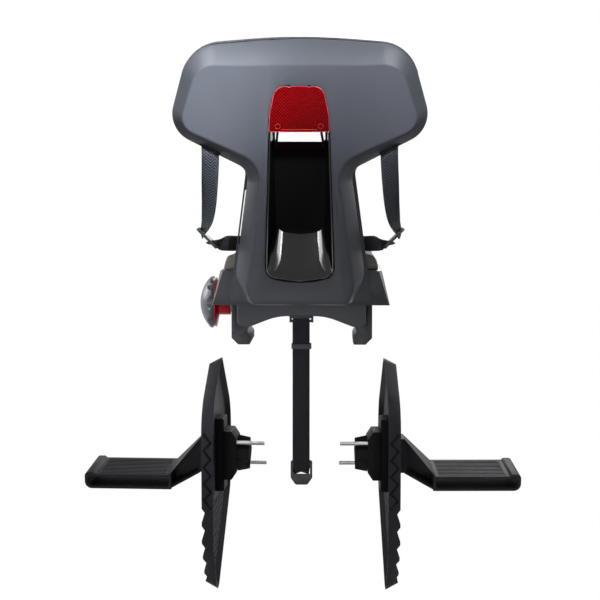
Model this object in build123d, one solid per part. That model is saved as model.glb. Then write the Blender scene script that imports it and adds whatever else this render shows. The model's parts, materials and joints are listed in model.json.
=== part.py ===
from build123d import *
import os
from math import atan2, cos, degrees, hypot, radians, sin

# Child bike seat that clamps to a rear carrier, with its pair of footrests and spoke guards.
# Millimetres. +X is the rider's right, +Y is the riding direction and +Z is up.
# The origin lies midway between the carrier's rails, level with their tops.

# Backrest, drawn upright: X across, Z up from its lower edge, Y forward from its rear face
LEAN = 8.0
BACK_Y = -150.0
BACK_Z = 41.0
CROWN = (0.0, 377.0)
SHOULDER = (155.0, 365.0)
WING_TIP = (188.0, 250.0)
WAIST = (73.0, 192.0)
KNEE = (94.2, 36.0)
HEEL = (74.0, -6.0)
FOOT = (100.0, -6.0)
CROWN_R = 900.0
SHOULDER_R = 56.0
TIP_R = 41.0
WAIST_R = 22.0
KNEE_R = 50.0
HEEL_R = 14.0
SHELL_WALL = 3.0
SHELL_DEPTH = 46.0
WRAP_R = 1500.0

# Bevel bands round the rear face
BAND_DEPTH = 24.0
BAND_TOP = 34.0
BAND_SIDE = 27.0
BAND_WING = 19.0
BAND_WAIST = 20.0
BAND_KNEE = 8.0
BAND_FOOT = 6.0
FACE_SHOULDER_R = 30.0
FACE_TIP_R = 18.0
FACE_WAIST_R = 42.0
FACE_KNEE_R = 40.0
FACE_HEEL_R = 10.0
CREASE_R = 7.0

# Arched opening in the back shell
OPEN_TOP = 313.0
OPEN_TOP_HALF = 34.0
OPEN_TOP_R = 19.0
OPEN_SHOULDER = 272.0
OPEN_SHOULDER_HALF = 42.8
OPEN_SHOULDER_R = 60.0
OPEN_BOTTOM = 40.5
OPEN_BOTTOM_HALF = 50.5
OPEN_BOTTOM_R = 16.0
OPEN_SAG = 13.0
OPEN_SAG_R = 140.0
OPEN_RING = 2.5
OPEN_RING_DEPTH = 9.0

# Slots for the shoulder straps, in the lower bevels of the wings
SLOT_X = 127.0
SLOT_DEPTH = 20.6
SLOT_LENGTH = 33.0
SLOT_WIDTH = 4.0
SLOT_REACH = 12.0
STRAP_RISE = 19.0

# Front shell
PLATE = 4.0
FLANGE_TOP = 3.0
FLANGE_SIDE = 1.0
FLANGE_WAIST = 5.0
FRONT_SHOULDER_R = 58.0
FRONT_TIP_R = 42.0
FRONT_WAIST_R = 17.0
FRONT_FOOT_R = 4.0
LIP = 8.0
LIP_WALL = 3.0
LIP_FOOT = 54.0
SLIT_TOP = 160.0
SLIT_BOTTOM = 78.0
SLIT_WIDTH = 2.4
SLIT_STAND = 0.6
SLIT_R = 1.0

# Vent duct between the opening and the front shell
DUCT_GAP = 0.8
DUCT_START = 6.0
DUCT_WALL = 2.5
DUCT_FLOOR = 4.0
DUCT_TOP = 308.0
DUCT_TOP_HALF = 33.0
DUCT_TOP_R = 17.0
DUCT_SHOULDER = 270.0
DUCT_SHOULDER_HALF = 40.8
DUCT_SHOULDER_R = 50.0
DUCT_FLOOR_BOTTOM = 102.0
DUCT_BOTTOM_HALF = 37.5
DUCT_BOTTOM_R = 7.0
DUCT_SAG = 12.0
DUCT_SAG_R = 95.0
VENT_BOTTOM = 230.0
VENT_TOP = 262.0
VENT_HALF = 36.0
VENT_R = 5.0

# Rear reflector and its bracket
LENS_GAP = 1.0
LENS_BOTTOM = 248.0
LENS_PROUD = 1.5
LENS_BACK = 5.0
LENS_BEVEL = 1.4
LENS_NOTCH = 5.0
LENS_NOTCH_X = 14.0
LENS_NOTCH_DEPTH = 2.0
PEG_X = 30.0
PEG_RISE = 8.0
PEG_R = 3.0
PEG_CLEARANCE = 0.15
BRACKET = 3.0
BRACKET_INSET = 4.2
BRACKET_RISE = 2.0
LEG = 3.2
LEG_TOP_X = 30.0
LEG_FOOT_X = 34.2
LEG_DROP = 26.0

# Screws through the front shell into bosses of the back shell
SCREW_PLACES = ((115.0, 325.0), (140.0, 272.0), (62.0, 165.0), (72.0, 72.0))
SCREW_R = 1.75
SCREW_LENGTH = 20.0
SCREW_HEAD_R = 4.0
SCREW_HEAD = 2.4
SCREW_CLEARANCE = 0.1
BOSS_R = 5.0

# Back pad
PAD_INSET = 8.0
PAD_BOTTOM = 74.0
PAD = 22.0
PAD_EDGE_R = 7.0
PAD_SHOULDER_R = 46.0
PAD_TIP_R = 32.0
PAD_WAIST_R = 26.0
PAD_FOOT_R = 14.0
PAD_VENT_MARGIN = 7.0
PAD_VENT_DROP = 20.0

# Seat pan with flared side skirts
PAN_TOP_Z = 88.0
SKIRT_Z = 36.0
PAN_TOP_HALF = 119.5
SKIRT_HALF = 132.0
PAN_REAR = -118.0
PAN_TOP_FRONT = 142.0
SKIRT_FRONT = 152.0
PAN_REAR_R = 28.0
PAN_FRONT_R = 62.0
PAN_WALL = 3.5
PAN_EDGE_R = 4.0
SKIRT_END = -42.0
SKIRT_ARCH_Z = 64.0
SKIRT_ARCH_R = 20.0

# Seat pad
SEAT_PAD = 26.0
SEAT_PAD_INSET = 1.0
SEAT_PAD_TAPER = 5.0
SEAT_PAD_EDGE_R = 8.0
SEAT_PAD_GAP = 1.5

# Bolts from the front shell to the seat pan
BACK_BOLT_X = 62.0
BACK_BOLT_RISES = (10.0, 27.0)
BACK_BOLT_R = 2.5
BACK_BOLT_HEAD_R = 5.0
BACK_BOLT_HEAD = 4.0
BACK_BOLT_CLEARANCE = 0.2

# Clamp housing
CORE_HALF = 55.0
CORE_BOTTOM = 18.0
CORE_WALL = 6.0
CORE_ROOF = 5.0
CORE_RIB = 3.0
BRIDGE_HALF = 97.0
BRIDGE_TOP = 50.0
BRIDGE_REAR = 75.0
BRIDGE_FRONT = 51.0
BRIDGE_ARCH = 17.0
ARCH_FLAT_HALF = 36.0
ARCH_FOOT_IN = 17.0
ARCH_R = 90.0
ARCH_FOOT_R = 40.0
BRIDGE_CORNER_R = 9.0
BRIDGE_EDGE_R = 2.5

# Bolts from the seat pan into the clamp housing
HOUSING_BOLT_X = 40.0
HOUSING_BOLT_Y = 40.0
HOUSING_BOLT_R = 2.5
HOUSING_BOLT_LENGTH = 26.0
HOUSING_BOLT_HEAD_R = 5.0
HOUSING_BOLT_HEAD = 2.2
HOUSING_BOSS_R = 6.5

# Rails of the carrier, and the jaws that grip them
RAIL_R = 8.0
JAW_INNER = 78.7
GROOVE_DEPTH = 4.0
JAW_OUTER = 107.0
JAW_WALL = 8.0
JAW_DROP = 28.8
JAW_CHAMFER = 10.0
JAW_FLOOR_Z = 3.0
JAW_WALL_TOP = 52.0
JAW_HALF_LENGTH = 49.0
JAW_EDGE_R = 2.0
WEB_INNER = 80.0
WEB_THICK = 10.0
WEB_TOP = 50.0
WEB_HALF = 22.0

# Spindle, nuts, knob and collar, about an axis along X
SPINDLE_Z = 32.0
SPINDLE_R = 5.0
SPINDLE_END = 98.0
RUN_CLEARANCE = 0.08
NUT_R = 9.0
NUT_CLEARANCE = 0.1
SPINDLE_HOLE_R = 7.0
KNOB_STAND = 3.0
KNOB_STEP = 3.0
KNOB_RIM = 7.0
KNOB_DEPTH = 24.0
KNOB_R = 40.5
KNOB_BORE = 15.0
LOBES = 8
LOBE_CUT_R = 15.0
LOBE_CUT_DEPTH = 4.5
COLLAR_END = 112.0
COLLAR_R = 20.0
COLLAR_FLANGE = 5.5
COLLAR_FLANGE_R = 38.5
COLLAR_FLANGE_EDGE = 1.5
COLLAR_CLEARANCE = 1.5

# Webbing
WEB_WIDTH = 25.0
WEB_T = 1.6
HEM = 7.0

# Shoulder straps and their adjusters
ADJUSTER = (136.0, -112.0, 136.0)
ADJUSTER_LENGTH = 40.0
ADJUSTER_WIDTH = 33.0
ADJUSTER_T = 4.0
ADJUSTER_TILT = 45.0
ADJUSTER_SLOT = 9.0
ADJUSTER_SLOT_PLACE = 11.0
ADJUSTER_SLOT_LENGTH = 27.0
ADJUSTER_R = 5.0
STRAP_TAIL = 9.0
STRAP_TURN = 50.0
STRAP_TURN_RISE = 38.0

# Lap strap, half way from its adjuster to the buckle
LAP_MIDDLE = (86.0, -82.0, 127.5)
LAP_RUN = (-1.0, 0.5, 0.0)
LAP_LIE = (-0.2, -0.4, 0.9)

# Harness buckle
BUCKLE_AHEAD = 48.0
BUCKLE_Z = 134.0
BUCKLE_TILT = -35.0
BUCKLE_WIDTH = 44.0
BUCKLE_HEIGHT = 40.0
BUCKLE_T = 14.0
BUCKLE_R = 7.0
BUCKLE_EDGE_R = 2.0
TONGUE_T = 3.0
TONGUE_BLADE = 22.0
TONGUE_START = 13.0
TONGUE_HEAD = 24.5
TONGUE_END = 43.0
TONGUE_WIDTH = 33.0
TONGUE_SLOT = 6.0
TONGUE_SLOT_START = 31.0
TONGUE_R = 4.0
TONGUE_CLEARANCE = 0.5
BUTTON_WIDTH = 18.0
BUTTON_HEIGHT = 14.0
BUTTON_R = 3.0
BUTTON_PROUD = 1.5
BUTTON_TRAVEL = 2.5
BUTTON_T = 4.5
BUTTON_CLEARANCE = 0.4

# Crotch strap
CROTCH_Y = 15.0
CROTCH_BEND_R = 5.0
CROTCH_LIFT = 1.6
CROTCH_CLEARANCE = 0.8
CROTCH_TAIL = 76.0
CROTCH_PLATE = 4.0
CROTCH_PLATE_HALF = (20.0, 10.0)
CROTCH_POCKET_DEPTH = 18.0
CROTCH_POCKET_MARGIN = 1.0

# Safety strap that hangs from the rear bridge
ANCHOR_HALF = 18.0
ANCHOR_T = 3.5
ANCHOR_LUG = 3.5
ANCHOR_DEPTH = 14.0
ANCHOR_BAR_DROP = 8.0
ANCHOR_BAR_R = 2.0
LOOP_GAP = 5.0
LOOP_BOTTOM = -219.0
LOOP_PLAY = 0.5
KEEPER_Z = -29.0
KEEPER_HEIGHT = 8.0
KEEPER_T = 2.0
SAFETY_BUCKLE_TOP = -204.0
SAFETY_BUCKLE_BOTTOM = -242.0
SAFETY_BUCKLE_HALF = 16.5
SAFETY_BUCKLE_T = 4.0
SAFETY_WINDOW = 9.0
SAFETY_TONGUE_HALF = 9.0
SAFETY_BUCKLE_R = 4.0

# Spoke guard, drawn in the plane of its inner face: Y forward, Z up
GUARD_X = 127.0
TOE_IN = 2.1
GUARD_CORNERS = ((5.0, -50.0), (122.0, -150.0), (122.0, -275.0), (-60.0, -421.0), (-108.0, -335.0),
                 (-108.0, -120.0))
GUARD_RADII = (24.0, 70.0, 70.0, 26.0, 60.0, 80.0)
GUARD_PLATE = 3.0
GUARD_RIM = 19.0
GUARD_DRAFT = 10.0
GUARD_DISH = 8.0
GUARD_RIM_WALL = 3.0
NOTCHES = 5
NOTCH_TOP = -278.0
NOTCH_PITCH = 27.0
NOTCH_DEPTH = 5.0
NOTCH_ABOVE = 7.0
NOTCH_BELOW = 19.0
NOTCH_REACH = 50.0

# Slide rail on the inner face of the guard
STAY_Z = -206.0
RAIL_HEIGHT = 114.0
RAIL_WIDTH = 44.0
RAIL_DEPTH = 14.0
RAIL_POCKET_HALF = 50.0
RAIL_EDGE_R = 2.0
RAIL_SCREW_Y = 12.0
RAIL_SCREW_Z = 53.5
RAIL_SCREW_R = 1.6
RAIL_SCREW_HEAD_R = 3.2
RAIL_SCREW_HEAD = 2.0
RAIL_SCREW_DEPTH = 7.0
RAIL_SCREW_CLEARANCE = 0.1

# Footrest
SLIDE_TRAVEL = 18.0
SLIDE_CLEARANCE = 0.5
SLIDER_HALF_WIDTH = 15.0
SLIDER_HALF_HEIGHT = 31.0
SLIDER_T = 5.0
NECK_HALF_WIDTH = 8.0
NECK_HALF_HEIGHT = 22.0
ROOT_HALF_WIDTH = 24.0
ROOT_HALF_HEIGHT = 27.0
ROOT_END = 31.0
TREAD_START = 74.0
TREAD_END = 209.0
TREAD_Z = -241.0
TREAD_HEIGHT = 23.0
TREAD_DEPTH = 90.0
TREAD_TILT = 4.8
TREAD_WALL = 3.5
TREAD_END_R = 11.0
TREAD_EDGE_R = 1.5
TREAD_RIBS = 11
TREAD_RIB = 2.0
TREAD_RIB_RISE = 0.7
TREAD_RIB_MARGIN = 9.0
TREAD_LIP = 14.0
TREAD_LIP_RISE = 3.0
TREAD_LIP_R = 6.0

# Stay bracket, block and studs
STAY_BRACKET_HALF = (26.0, 38.0)
STAY_BRACKET_STEP = 12.0
STAY_BRACKET_DEPTH = 20.0
STAY_BRACKET_NOSE = 12.0
STAY_BRACKET_R = 2.0
STAY_BLOCK_HALF = (22.0, 18.5)
STAY_BLOCK_DEPTH = 19.0
STAY_BLOCK_TAPER = 4.0
STAY_R = 8.0
STAY_SEAT_DEPTH = 6.0
STUD_Y = -18.0
STUD_Z = 19.0
STUD_R = 3.0
STUD_SHANK_R = 3.6
STUD_SHANK_STAND = 0.5
STUD_END = 69.0
STUD_SEAT = 12.0
STUD_CLEARANCE = 0.1

# Far enough to cut right through anything, and a little past a face
THROUGH = 500.0
PAST = 1.0


# Helpers

def both_sides(half):
    """Points of a symmetric outline, from its right half that starts on the centre line."""
    left = [(-x, z) for x, z in reversed(half[1:])]
    return list(half) + left


def both_radii(half):
    """Corner radii of a symmetric outline, in the order of both_sides."""
    return list(half) + list(reversed(half[1:]))


def both_gaps(half):
    """One value for each side of a symmetric outline, from those of its right half and its foot."""
    return list(half) + list(reversed(half[:-1]))


def inset(points, gaps):
    """Corners of a clockwise outline whose sides have each moved inwards by a gap."""
    moved = []
    for i, here in enumerate(points):
        normals = []
        after = points[(i + 1) % len(points)]
        for start, end in ((points[i - 1], here), (here, after)):
            run = hypot(end[0] - start[0], end[1] - start[1])
            normals.append(((end[1] - start[1]) / run, (start[0] - end[0]) / run))
        (ax, az), (bx, bz) = normals
        before_gap = gaps[i - 1]
        after_gap = gaps[i]
        cross = ax * bz - az * bx
        moved.append((here[0] + (before_gap * bz - after_gap * az) / cross,
                      here[1] + (ax * after_gap - bx * before_gap) / cross))
    return moved


def across(y):
    """Drawing plane across the seat at depth y: right is +X and up is +Z."""
    return Plane((0, y, 0), x_dir=(1, 0, 0), z_dir=(0, -1, 0))


def outline(points, radii, plane):
    return plane * make_face(FilletPolyline(*points, radius=radii, close=True))


def slab(points, radii, rear, front):
    """An outline drawn across the seat, made solid between two depths."""
    return extrude(outline(points, radii, across(front)), front - rear)


def rod_y(x, z, radius, rear, front):
    return extrude(Plane((x, front, z), x_dir=(1, 0, 0), z_dir=(0, -1, 0)) * Circle(radius), front - rear)


def rod_x(y, z, radius, left, right):
    return extrude(Plane((left, y, z), x_dir=(0, 1, 0), z_dir=(1, 0, 0)) * Circle(radius), right - left)


def rod_z(x, y, radius, low, high):
    return extrude(Plane((x, y, low)) * Circle(radius), high - low)


def block(x, y, z):
    """A box between two values along each axis."""
    size = [high - low for low, high in (x, y, z)]
    middle = [(high + low) / 2 for low, high in (x, y, z)]
    return Pos(*middle) * Box(*size)


def mirrored(shape):
    return mirror(shape, about=Plane.YZ)


def group(solids):
    return Compound(children=[solid for solid in solids])


def ribbon(stations):
    """Flat webbing through stations: a centre, the way it runs and the way its width points."""
    sections = [Plane(centre, x_dir=width, z_dir=run) * Rectangle(WEB_WIDTH, WEB_T)
                for centre, run, width in stations]
    return loft([section.face() for section in sections], ruled=True)


LEANING = Location((0, BACK_Y, BACK_Z), (LEAN, 0, 0))
FRONT_FACE = SHELL_DEPTH + PLATE
DUCT_END = SHELL_DEPTH - DUCT_FLOOR

RIM = both_sides([CROWN, SHOULDER, WING_TIP, WAIST, KNEE, HEEL])
RIM_RADII = both_radii([CROWN_R, SHOULDER_R, TIP_R, WAIST_R, KNEE_R, HEEL_R])
TURNS = both_radii([1, 1, 1, -1, 1, 1])
BANDS = both_gaps([BAND_TOP, BAND_SIDE, BAND_WING, BAND_WAIST, BAND_KNEE, BAND_FOOT])
FACE = inset(RIM, BANDS)
FACE_RADII = both_radii([CROWN_R, FACE_SHOULDER_R, FACE_TIP_R, FACE_WAIST_R, FACE_KNEE_R, FACE_HEEL_R])

OPENING = [(-OPEN_TOP_HALF, OPEN_TOP), (OPEN_TOP_HALF, OPEN_TOP), (OPEN_SHOULDER_HALF, OPEN_SHOULDER),
           (OPEN_BOTTOM_HALF, OPEN_BOTTOM), (0.0, OPEN_BOTTOM - OPEN_SAG), (-OPEN_BOTTOM_HALF, OPEN_BOTTOM),
           (-OPEN_SHOULDER_HALF, OPEN_SHOULDER)]
OPENING_RADII = [OPEN_TOP_R, OPEN_TOP_R, OPEN_SHOULDER_R, OPEN_BOTTOM_R, OPEN_SAG_R, OPEN_BOTTOM_R,
                 OPEN_SHOULDER_R]

FRONT = inset(both_sides([CROWN, SHOULDER, WING_TIP, WAIST, FOOT]),
              both_gaps([-FLANGE_TOP, -FLANGE_SIDE, -FLANGE_SIDE, -FLANGE_WAIST, 0]))
FRONT_TURNS = both_radii([1, 1, 1, -1, 1])
FRONT_RADII = both_radii([CROWN_R, FRONT_SHOULDER_R, FRONT_TIP_R, FRONT_WAIST_R, FRONT_FOOT_R])

SCREWS = [(side * x, z) for x, z in SCREW_PLACES for side in (1, -1)]
WING_ANGLE = degrees(atan2(WING_TIP[1] - WAIST[1], WING_TIP[0] - WAIST[0]))


def opening_inset(gap):
    """The opening's outline and radii, all sides moved inwards by one gap."""
    return inset(OPENING, [gap] * len(OPENING)), [radius - gap for radius in OPENING_RADII]


def wing_point(x, depth):
    """Height of the wing's lower bevel at a place across and a depth."""
    low = WAIST[1] + (x - WAIST[0]) * (WING_TIP[1] - WAIST[1]) / (WING_TIP[0] - WAIST[0])
    rise = BAND_WING / cos(radians(WING_ANGLE))
    return low + rise * (1 - depth / BAND_DEPTH)


# Backrest

def shell_body(gap):
    """The back shell's outside, or its inside where gap is the wall."""
    rim = inset(RIM, [gap] * len(RIM))
    face = inset(FACE, [gap] * len(FACE))
    rim_radii = [radius - gap * turn for radius, turn in zip(RIM_RADII, TURNS)]
    face_radii = [radius - gap * turn for radius, turn in zip(FACE_RADII, TURNS)]
    bevel = loft([outline(face, face_radii, across(gap)).face(),
                  outline(rim, rim_radii, across(BAND_DEPTH)).face()], ruled=True)
    side = slab(rim, rim_radii, BAND_DEPTH, SHELL_DEPTH)
    wrap = Pos(0, WRAP_R, CROWN[1] / 2) * Cylinder(WRAP_R - gap, 2 * CROWN[1])
    body = (bevel + side) & wrap
    crease = body.faces().sort_by(Axis.Y)[0].edges()
    return fillet(crease, CREASE_R - gap)


def back_shell():
    outside = shell_body(0)
    shell = outside - shell_body(SHELL_WALL)
    ring, ring_radii = opening_inset(-OPEN_RING)
    shell += slab(ring, ring_radii, 0, OPEN_RING_DEPTH) & outside
    for x, z in SCREWS:
        shell += rod_y(x, z, BOSS_R, 0, SHELL_DEPTH) & outside
        shell -= rod_y(x, z, SCREW_R + SCREW_CLEARANCE, FRONT_FACE - SCREW_LENGTH - PLATE, FRONT_FACE)
    shell -= slab(OPENING, OPENING_RADII, -THROUGH, OPEN_RING_DEPTH)
    slot_z = wing_point(SLOT_X, SLOT_DEPTH)
    slot = Box(SLOT_LENGTH, SLOT_WIDTH, 2 * SLOT_REACH)
    slot = Location((SLOT_X, SLOT_DEPTH, slot_z), (0, -WING_ANGLE, 0)) * slot
    return LEANING * (shell - slot - mirrored(slot))


def waist_slit():
    """A long slit beside the waist, between the back shell's side and the flange's edge."""
    run = (FOOT[0] - WAIST[0]) / (WAIST[1] - FOOT[1])
    corners = []
    for z, stand in ((SLIT_TOP, SLIT_STAND), (SLIT_TOP, SLIT_STAND + SLIT_WIDTH),
                     (SLIT_BOTTOM, SLIT_STAND + SLIT_WIDTH), (SLIT_BOTTOM, SLIT_STAND)):
        corners.append((WAIST[0] + (WAIST[1] - z) * run + stand, z))
    return slab(corners, [SLIT_R] * len(corners), SHELL_DEPTH - PLATE, THROUGH)


def vent_window(margin, drop, rear, front):
    sides = [(-VENT_HALF - margin, VENT_TOP + margin), (VENT_HALF + margin, VENT_TOP + margin),
             (VENT_HALF + margin, VENT_BOTTOM - drop), (-VENT_HALF - margin, VENT_BOTTOM - drop)]
    return slab(sides, [VENT_R] * len(sides), rear, front)


def front_shell():
    shell = slab(FRONT, FRONT_RADII, SHELL_DEPTH, FRONT_FACE + LIP)
    tray = inset(FRONT, [LIP_WALL] * len(FRONT))
    tray_radii = [radius - LIP_WALL * turn for radius, turn in zip(FRONT_RADII, FRONT_TURNS)]
    shell -= slab(tray, tray_radii, FRONT_FACE, THROUGH)
    shell -= block((-THROUGH, THROUGH), (FRONT_FACE, THROUGH), (-THROUGH, LIP_FOOT))
    shell -= vent_window(0, 0, 0, THROUGH)
    shell -= mirrored(waist_slit())
    for x, z in SCREWS:
        shell -= rod_y(x, z, SCREW_R + SCREW_CLEARANCE, 0, THROUGH)
        shell -= rod_y(x, z, SCREW_HEAD_R + SCREW_CLEARANCE, FRONT_FACE - SCREW_HEAD, THROUGH)
    for x, z in BACK_BOLTS:
        shell -= rod_y(x, z, BACK_BOLT_R + BACK_BOLT_CLEARANCE, 0, THROUGH)
    return LEANING * shell


def vent_duct():
    floor = [(-DUCT_TOP_HALF, DUCT_TOP), (DUCT_TOP_HALF, DUCT_TOP), (DUCT_SHOULDER_HALF, DUCT_SHOULDER),
             (DUCT_BOTTOM_HALF, DUCT_FLOOR_BOTTOM), (0.0, DUCT_FLOOR_BOTTOM - DUCT_SAG),
             (-DUCT_BOTTOM_HALF, DUCT_FLOOR_BOTTOM), (-DUCT_SHOULDER_HALF, DUCT_SHOULDER)]
    floor_radii = [DUCT_TOP_R, DUCT_TOP_R, DUCT_SHOULDER_R, DUCT_BOTTOM_R, DUCT_SAG_R, DUCT_BOTTOM_R,
                   DUCT_SHOULDER_R]
    tubes = []
    for gap in (0, DUCT_WALL):
        mouth, mouth_radii = opening_inset(DUCT_GAP + gap)
        end = inset(floor, [gap] * len(floor))
        end_radii = [radius - gap for radius in floor_radii]
        tubes.append(loft([outline(mouth, mouth_radii, across(DUCT_START)).face(),
                           outline(end, end_radii, across(DUCT_END)).face()], ruled=True))
    duct = tubes[0] - tubes[1]
    duct += slab(floor, floor_radii, DUCT_END, SHELL_DEPTH)
    return LEANING * (duct - vent_window(0, 0, DUCT_END - PLATE, THROUGH))


def reflector_lens():
    sides, radii = opening_inset(LENS_GAP)
    lens = slab(sides, radii, -LENS_PROUD, LENS_BACK)
    lens &= block((-THROUGH, THROUGH), (-THROUGH, THROUGH), (LENS_BOTTOM, THROUGH))
    lens = chamfer(lens.faces().sort_by(Axis.Y)[0].edges(), LENS_BEVEL)
    top = OPEN_TOP - LENS_GAP
    for side in (1, -1):
        x = side * LENS_NOTCH_X
        lens -= block((x - LENS_NOTCH / 2, x + LENS_NOTCH / 2), (-THROUGH, THROUGH),
                      (top - LENS_NOTCH_DEPTH, THROUGH))
        lens += rod_y(side * PEG_X, LENS_BOTTOM + PEG_RISE, PEG_R, LENS_BACK, LENS_BACK + BRACKET)
    return LEANING * lens


def reflector_bracket():
    sides, radii = opening_inset(BRACKET_INSET)
    face = LENS_BACK + BRACKET
    bracket = slab(sides, radii, LENS_BACK, face)
    bottom = LENS_BOTTOM + BRACKET_RISE
    bracket &= block((-THROUGH, THROUGH), (-THROUGH, THROUGH), (bottom, THROUGH))
    for side in (1, -1):
        hole = rod_y(side * PEG_X, LENS_BOTTOM + PEG_RISE, PEG_R + PEG_CLEARANCE, 0, face)
        top = Pos(side * LEG_TOP_X, bottom + LEG / 2) * Rectangle(LEG, LEG)
        foot = Pos(side * LEG_FOOT_X, bottom - LEG_DROP) * Rectangle(LEG, LEG)
        leg = loft([(across(LENS_BACK) * top).face(), (across(DUCT_END) * foot).face()], ruled=True)
        bracket = bracket + leg - hole
    return LEANING * bracket


def shell_screws():
    screws = []
    for x, z in SCREWS:
        seat = FRONT_FACE - SCREW_HEAD
        head = rod_y(x, z, SCREW_HEAD_R, seat, FRONT_FACE)
        screws.append(LEANING * (head + rod_y(x, z, SCREW_R, FRONT_FACE - SCREW_LENGTH, seat)))
    return group(screws)


def back_pad():
    sides = inset(FRONT, both_gaps([PAD_INSET, PAD_INSET, PAD_INSET, PAD_INSET, PAD_BOTTOM]))
    radii = both_radii([CROWN_R, PAD_SHOULDER_R, PAD_TIP_R, PAD_WAIST_R, PAD_FOOT_R])
    pad = slab(sides, radii, FRONT_FACE, FRONT_FACE + PAD)
    pad = fillet(pad.faces().sort_by(Axis.Y)[-1].edges(), PAD_EDGE_R)
    return LEANING * (pad - vent_window(PAD_VENT_MARGIN, PAD_VENT_DROP, 0, THROUGH))


BACK_BOLTS = [(side * BACK_BOLT_X, z) for z in BACK_BOLT_RISES for side in (1, -1)]


def back_bolts():
    bolts = []
    for x, z in BACK_BOLTS:
        grip = FRONT_FACE + PAN_WALL
        bolt = rod_y(x, z, BACK_BOLT_HEAD_R, SHELL_DEPTH - BACK_BOLT_HEAD, SHELL_DEPTH)
        bolt += rod_y(x, z, BACK_BOLT_R, SHELL_DEPTH, grip)
        bolt += rod_y(x, z, BACK_BOLT_HEAD_R, grip, grip + BACK_BOLT_HEAD)
        bolts.append(LEANING * bolt)
    return group(bolts)


# Seat pan and pad

def behind_back(depth):
    """All the room behind a depth of the leaning backrest."""
    return LEANING * block((-THROUGH, THROUGH), (-THROUGH, depth), (-THROUGH, THROUGH))


def pan_outline(half, front, gap, z):
    corners = [(-half, front), (half, front), (half, PAN_REAR), (-half, PAN_REAR)]
    corners = inset(corners, [gap] * len(corners))
    radii = [radius - gap for radius in (PAN_FRONT_R, PAN_FRONT_R, PAN_REAR_R, PAN_REAR_R)]
    return outline(corners, radii, Plane((0, 0, z)))


def seat_pan():
    pan = loft([pan_outline(SKIRT_HALF, SKIRT_FRONT, 0, SKIRT_Z).face(),
                pan_outline(PAN_TOP_HALF, PAN_TOP_FRONT, 0, PAN_TOP_Z).face()], ruled=True)
    pan = fillet(pan.faces().sort_by(Axis.Z)[-1].edges(), PAN_EDGE_R)
    hollow = loft([pan_outline(SKIRT_HALF, SKIRT_FRONT, PAN_WALL, SKIRT_Z).face(),
                   pan_outline(PAN_TOP_HALF, PAN_TOP_FRONT, PAN_WALL, PAN_TOP_Z - PAN_WALL).face()],
                  ruled=True)
    pan = pan - behind_back(FRONT_FACE) - (hollow - behind_back(FRONT_FACE + PAN_WALL))
    arch = [(SKIRT_END, SKIRT_ARCH_Z), (THROUGH, SKIRT_ARCH_Z), (THROUGH, -SKIRT_Z), (SKIRT_END, -SKIRT_Z)]
    arch = outline(arch, [SKIRT_ARCH_R, 0, 0, 0], Plane.YZ)
    pan -= extrude(arch, THROUGH, both=True)
    pan -= crotch_slot(CROTCH_CLEARANCE + CROTCH_LIFT, PAN_TOP_Z - PAN_WALL, PAN_TOP_Z)
    for x, y in HOUSING_BOLTS:
        pan -= rod_z(x, y, HOUSING_BOLT_R + BACK_BOLT_CLEARANCE, 0, THROUGH)
        pan -= rod_z(x, y, HOUSING_BOLT_HEAD_R + BACK_BOLT_CLEARANCE, PAN_TOP_Z - HOUSING_BOLT_HEAD, THROUGH)
    for x, z in BACK_BOLTS:
        pan -= LEANING * rod_y(x, z, BACK_BOLT_R + BACK_BOLT_CLEARANCE, SHELL_DEPTH, FRONT_FACE + 2 * PAN_WALL)
    return pan


def seat_pad():
    top_inset = SEAT_PAD_INSET + SEAT_PAD_TAPER
    pad = loft([pan_outline(PAN_TOP_HALF, PAN_TOP_FRONT, SEAT_PAD_INSET, PAN_TOP_Z).face(),
                pan_outline(PAN_TOP_HALF, PAN_TOP_FRONT, top_inset, PAN_TOP_Z + SEAT_PAD).face()], ruled=True)
    pad = fillet(pad.faces().sort_by(Axis.Z)[-1].edges(), SEAT_PAD_EDGE_R)
    pad -= behind_back(FRONT_FACE + LIP + SEAT_PAD_GAP)
    return pad - crotch_slot(2 * CROTCH_LIFT + CROTCH_CLEARANCE, PAN_TOP_Z, THROUGH)


# Clamp housing and its bolts

HOUSING_BOLTS = [(sx * HOUSING_BOLT_X, sy * HOUSING_BOLT_Y) for sx in (1, -1) for sy in (1, -1)]
CORE_TOP = PAN_TOP_Z - PAN_WALL
ARCH_FOOT = BRIDGE_HALF - ARCH_FOOT_IN


def bridge(rear, front):
    sides = [(-BRIDGE_HALF, BRIDGE_TOP), (BRIDGE_HALF, BRIDGE_TOP), (BRIDGE_HALF, 0), (ARCH_FOOT, 0),
             (ARCH_FLAT_HALF, BRIDGE_ARCH), (-ARCH_FLAT_HALF, BRIDGE_ARCH), (-ARCH_FOOT, 0), (-BRIDGE_HALF, 0)]
    corner = BRIDGE_CORNER_R
    beam = slab(sides, [corner, corner, corner, ARCH_FOOT_R, ARCH_R, ARCH_R, ARCH_FOOT_R, corner], rear, front)
    faces = beam.faces().sort_by(Axis.Y)
    return fillet(faces[0].edges() + faces[-1].edges(), BRIDGE_EDGE_R)


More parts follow.
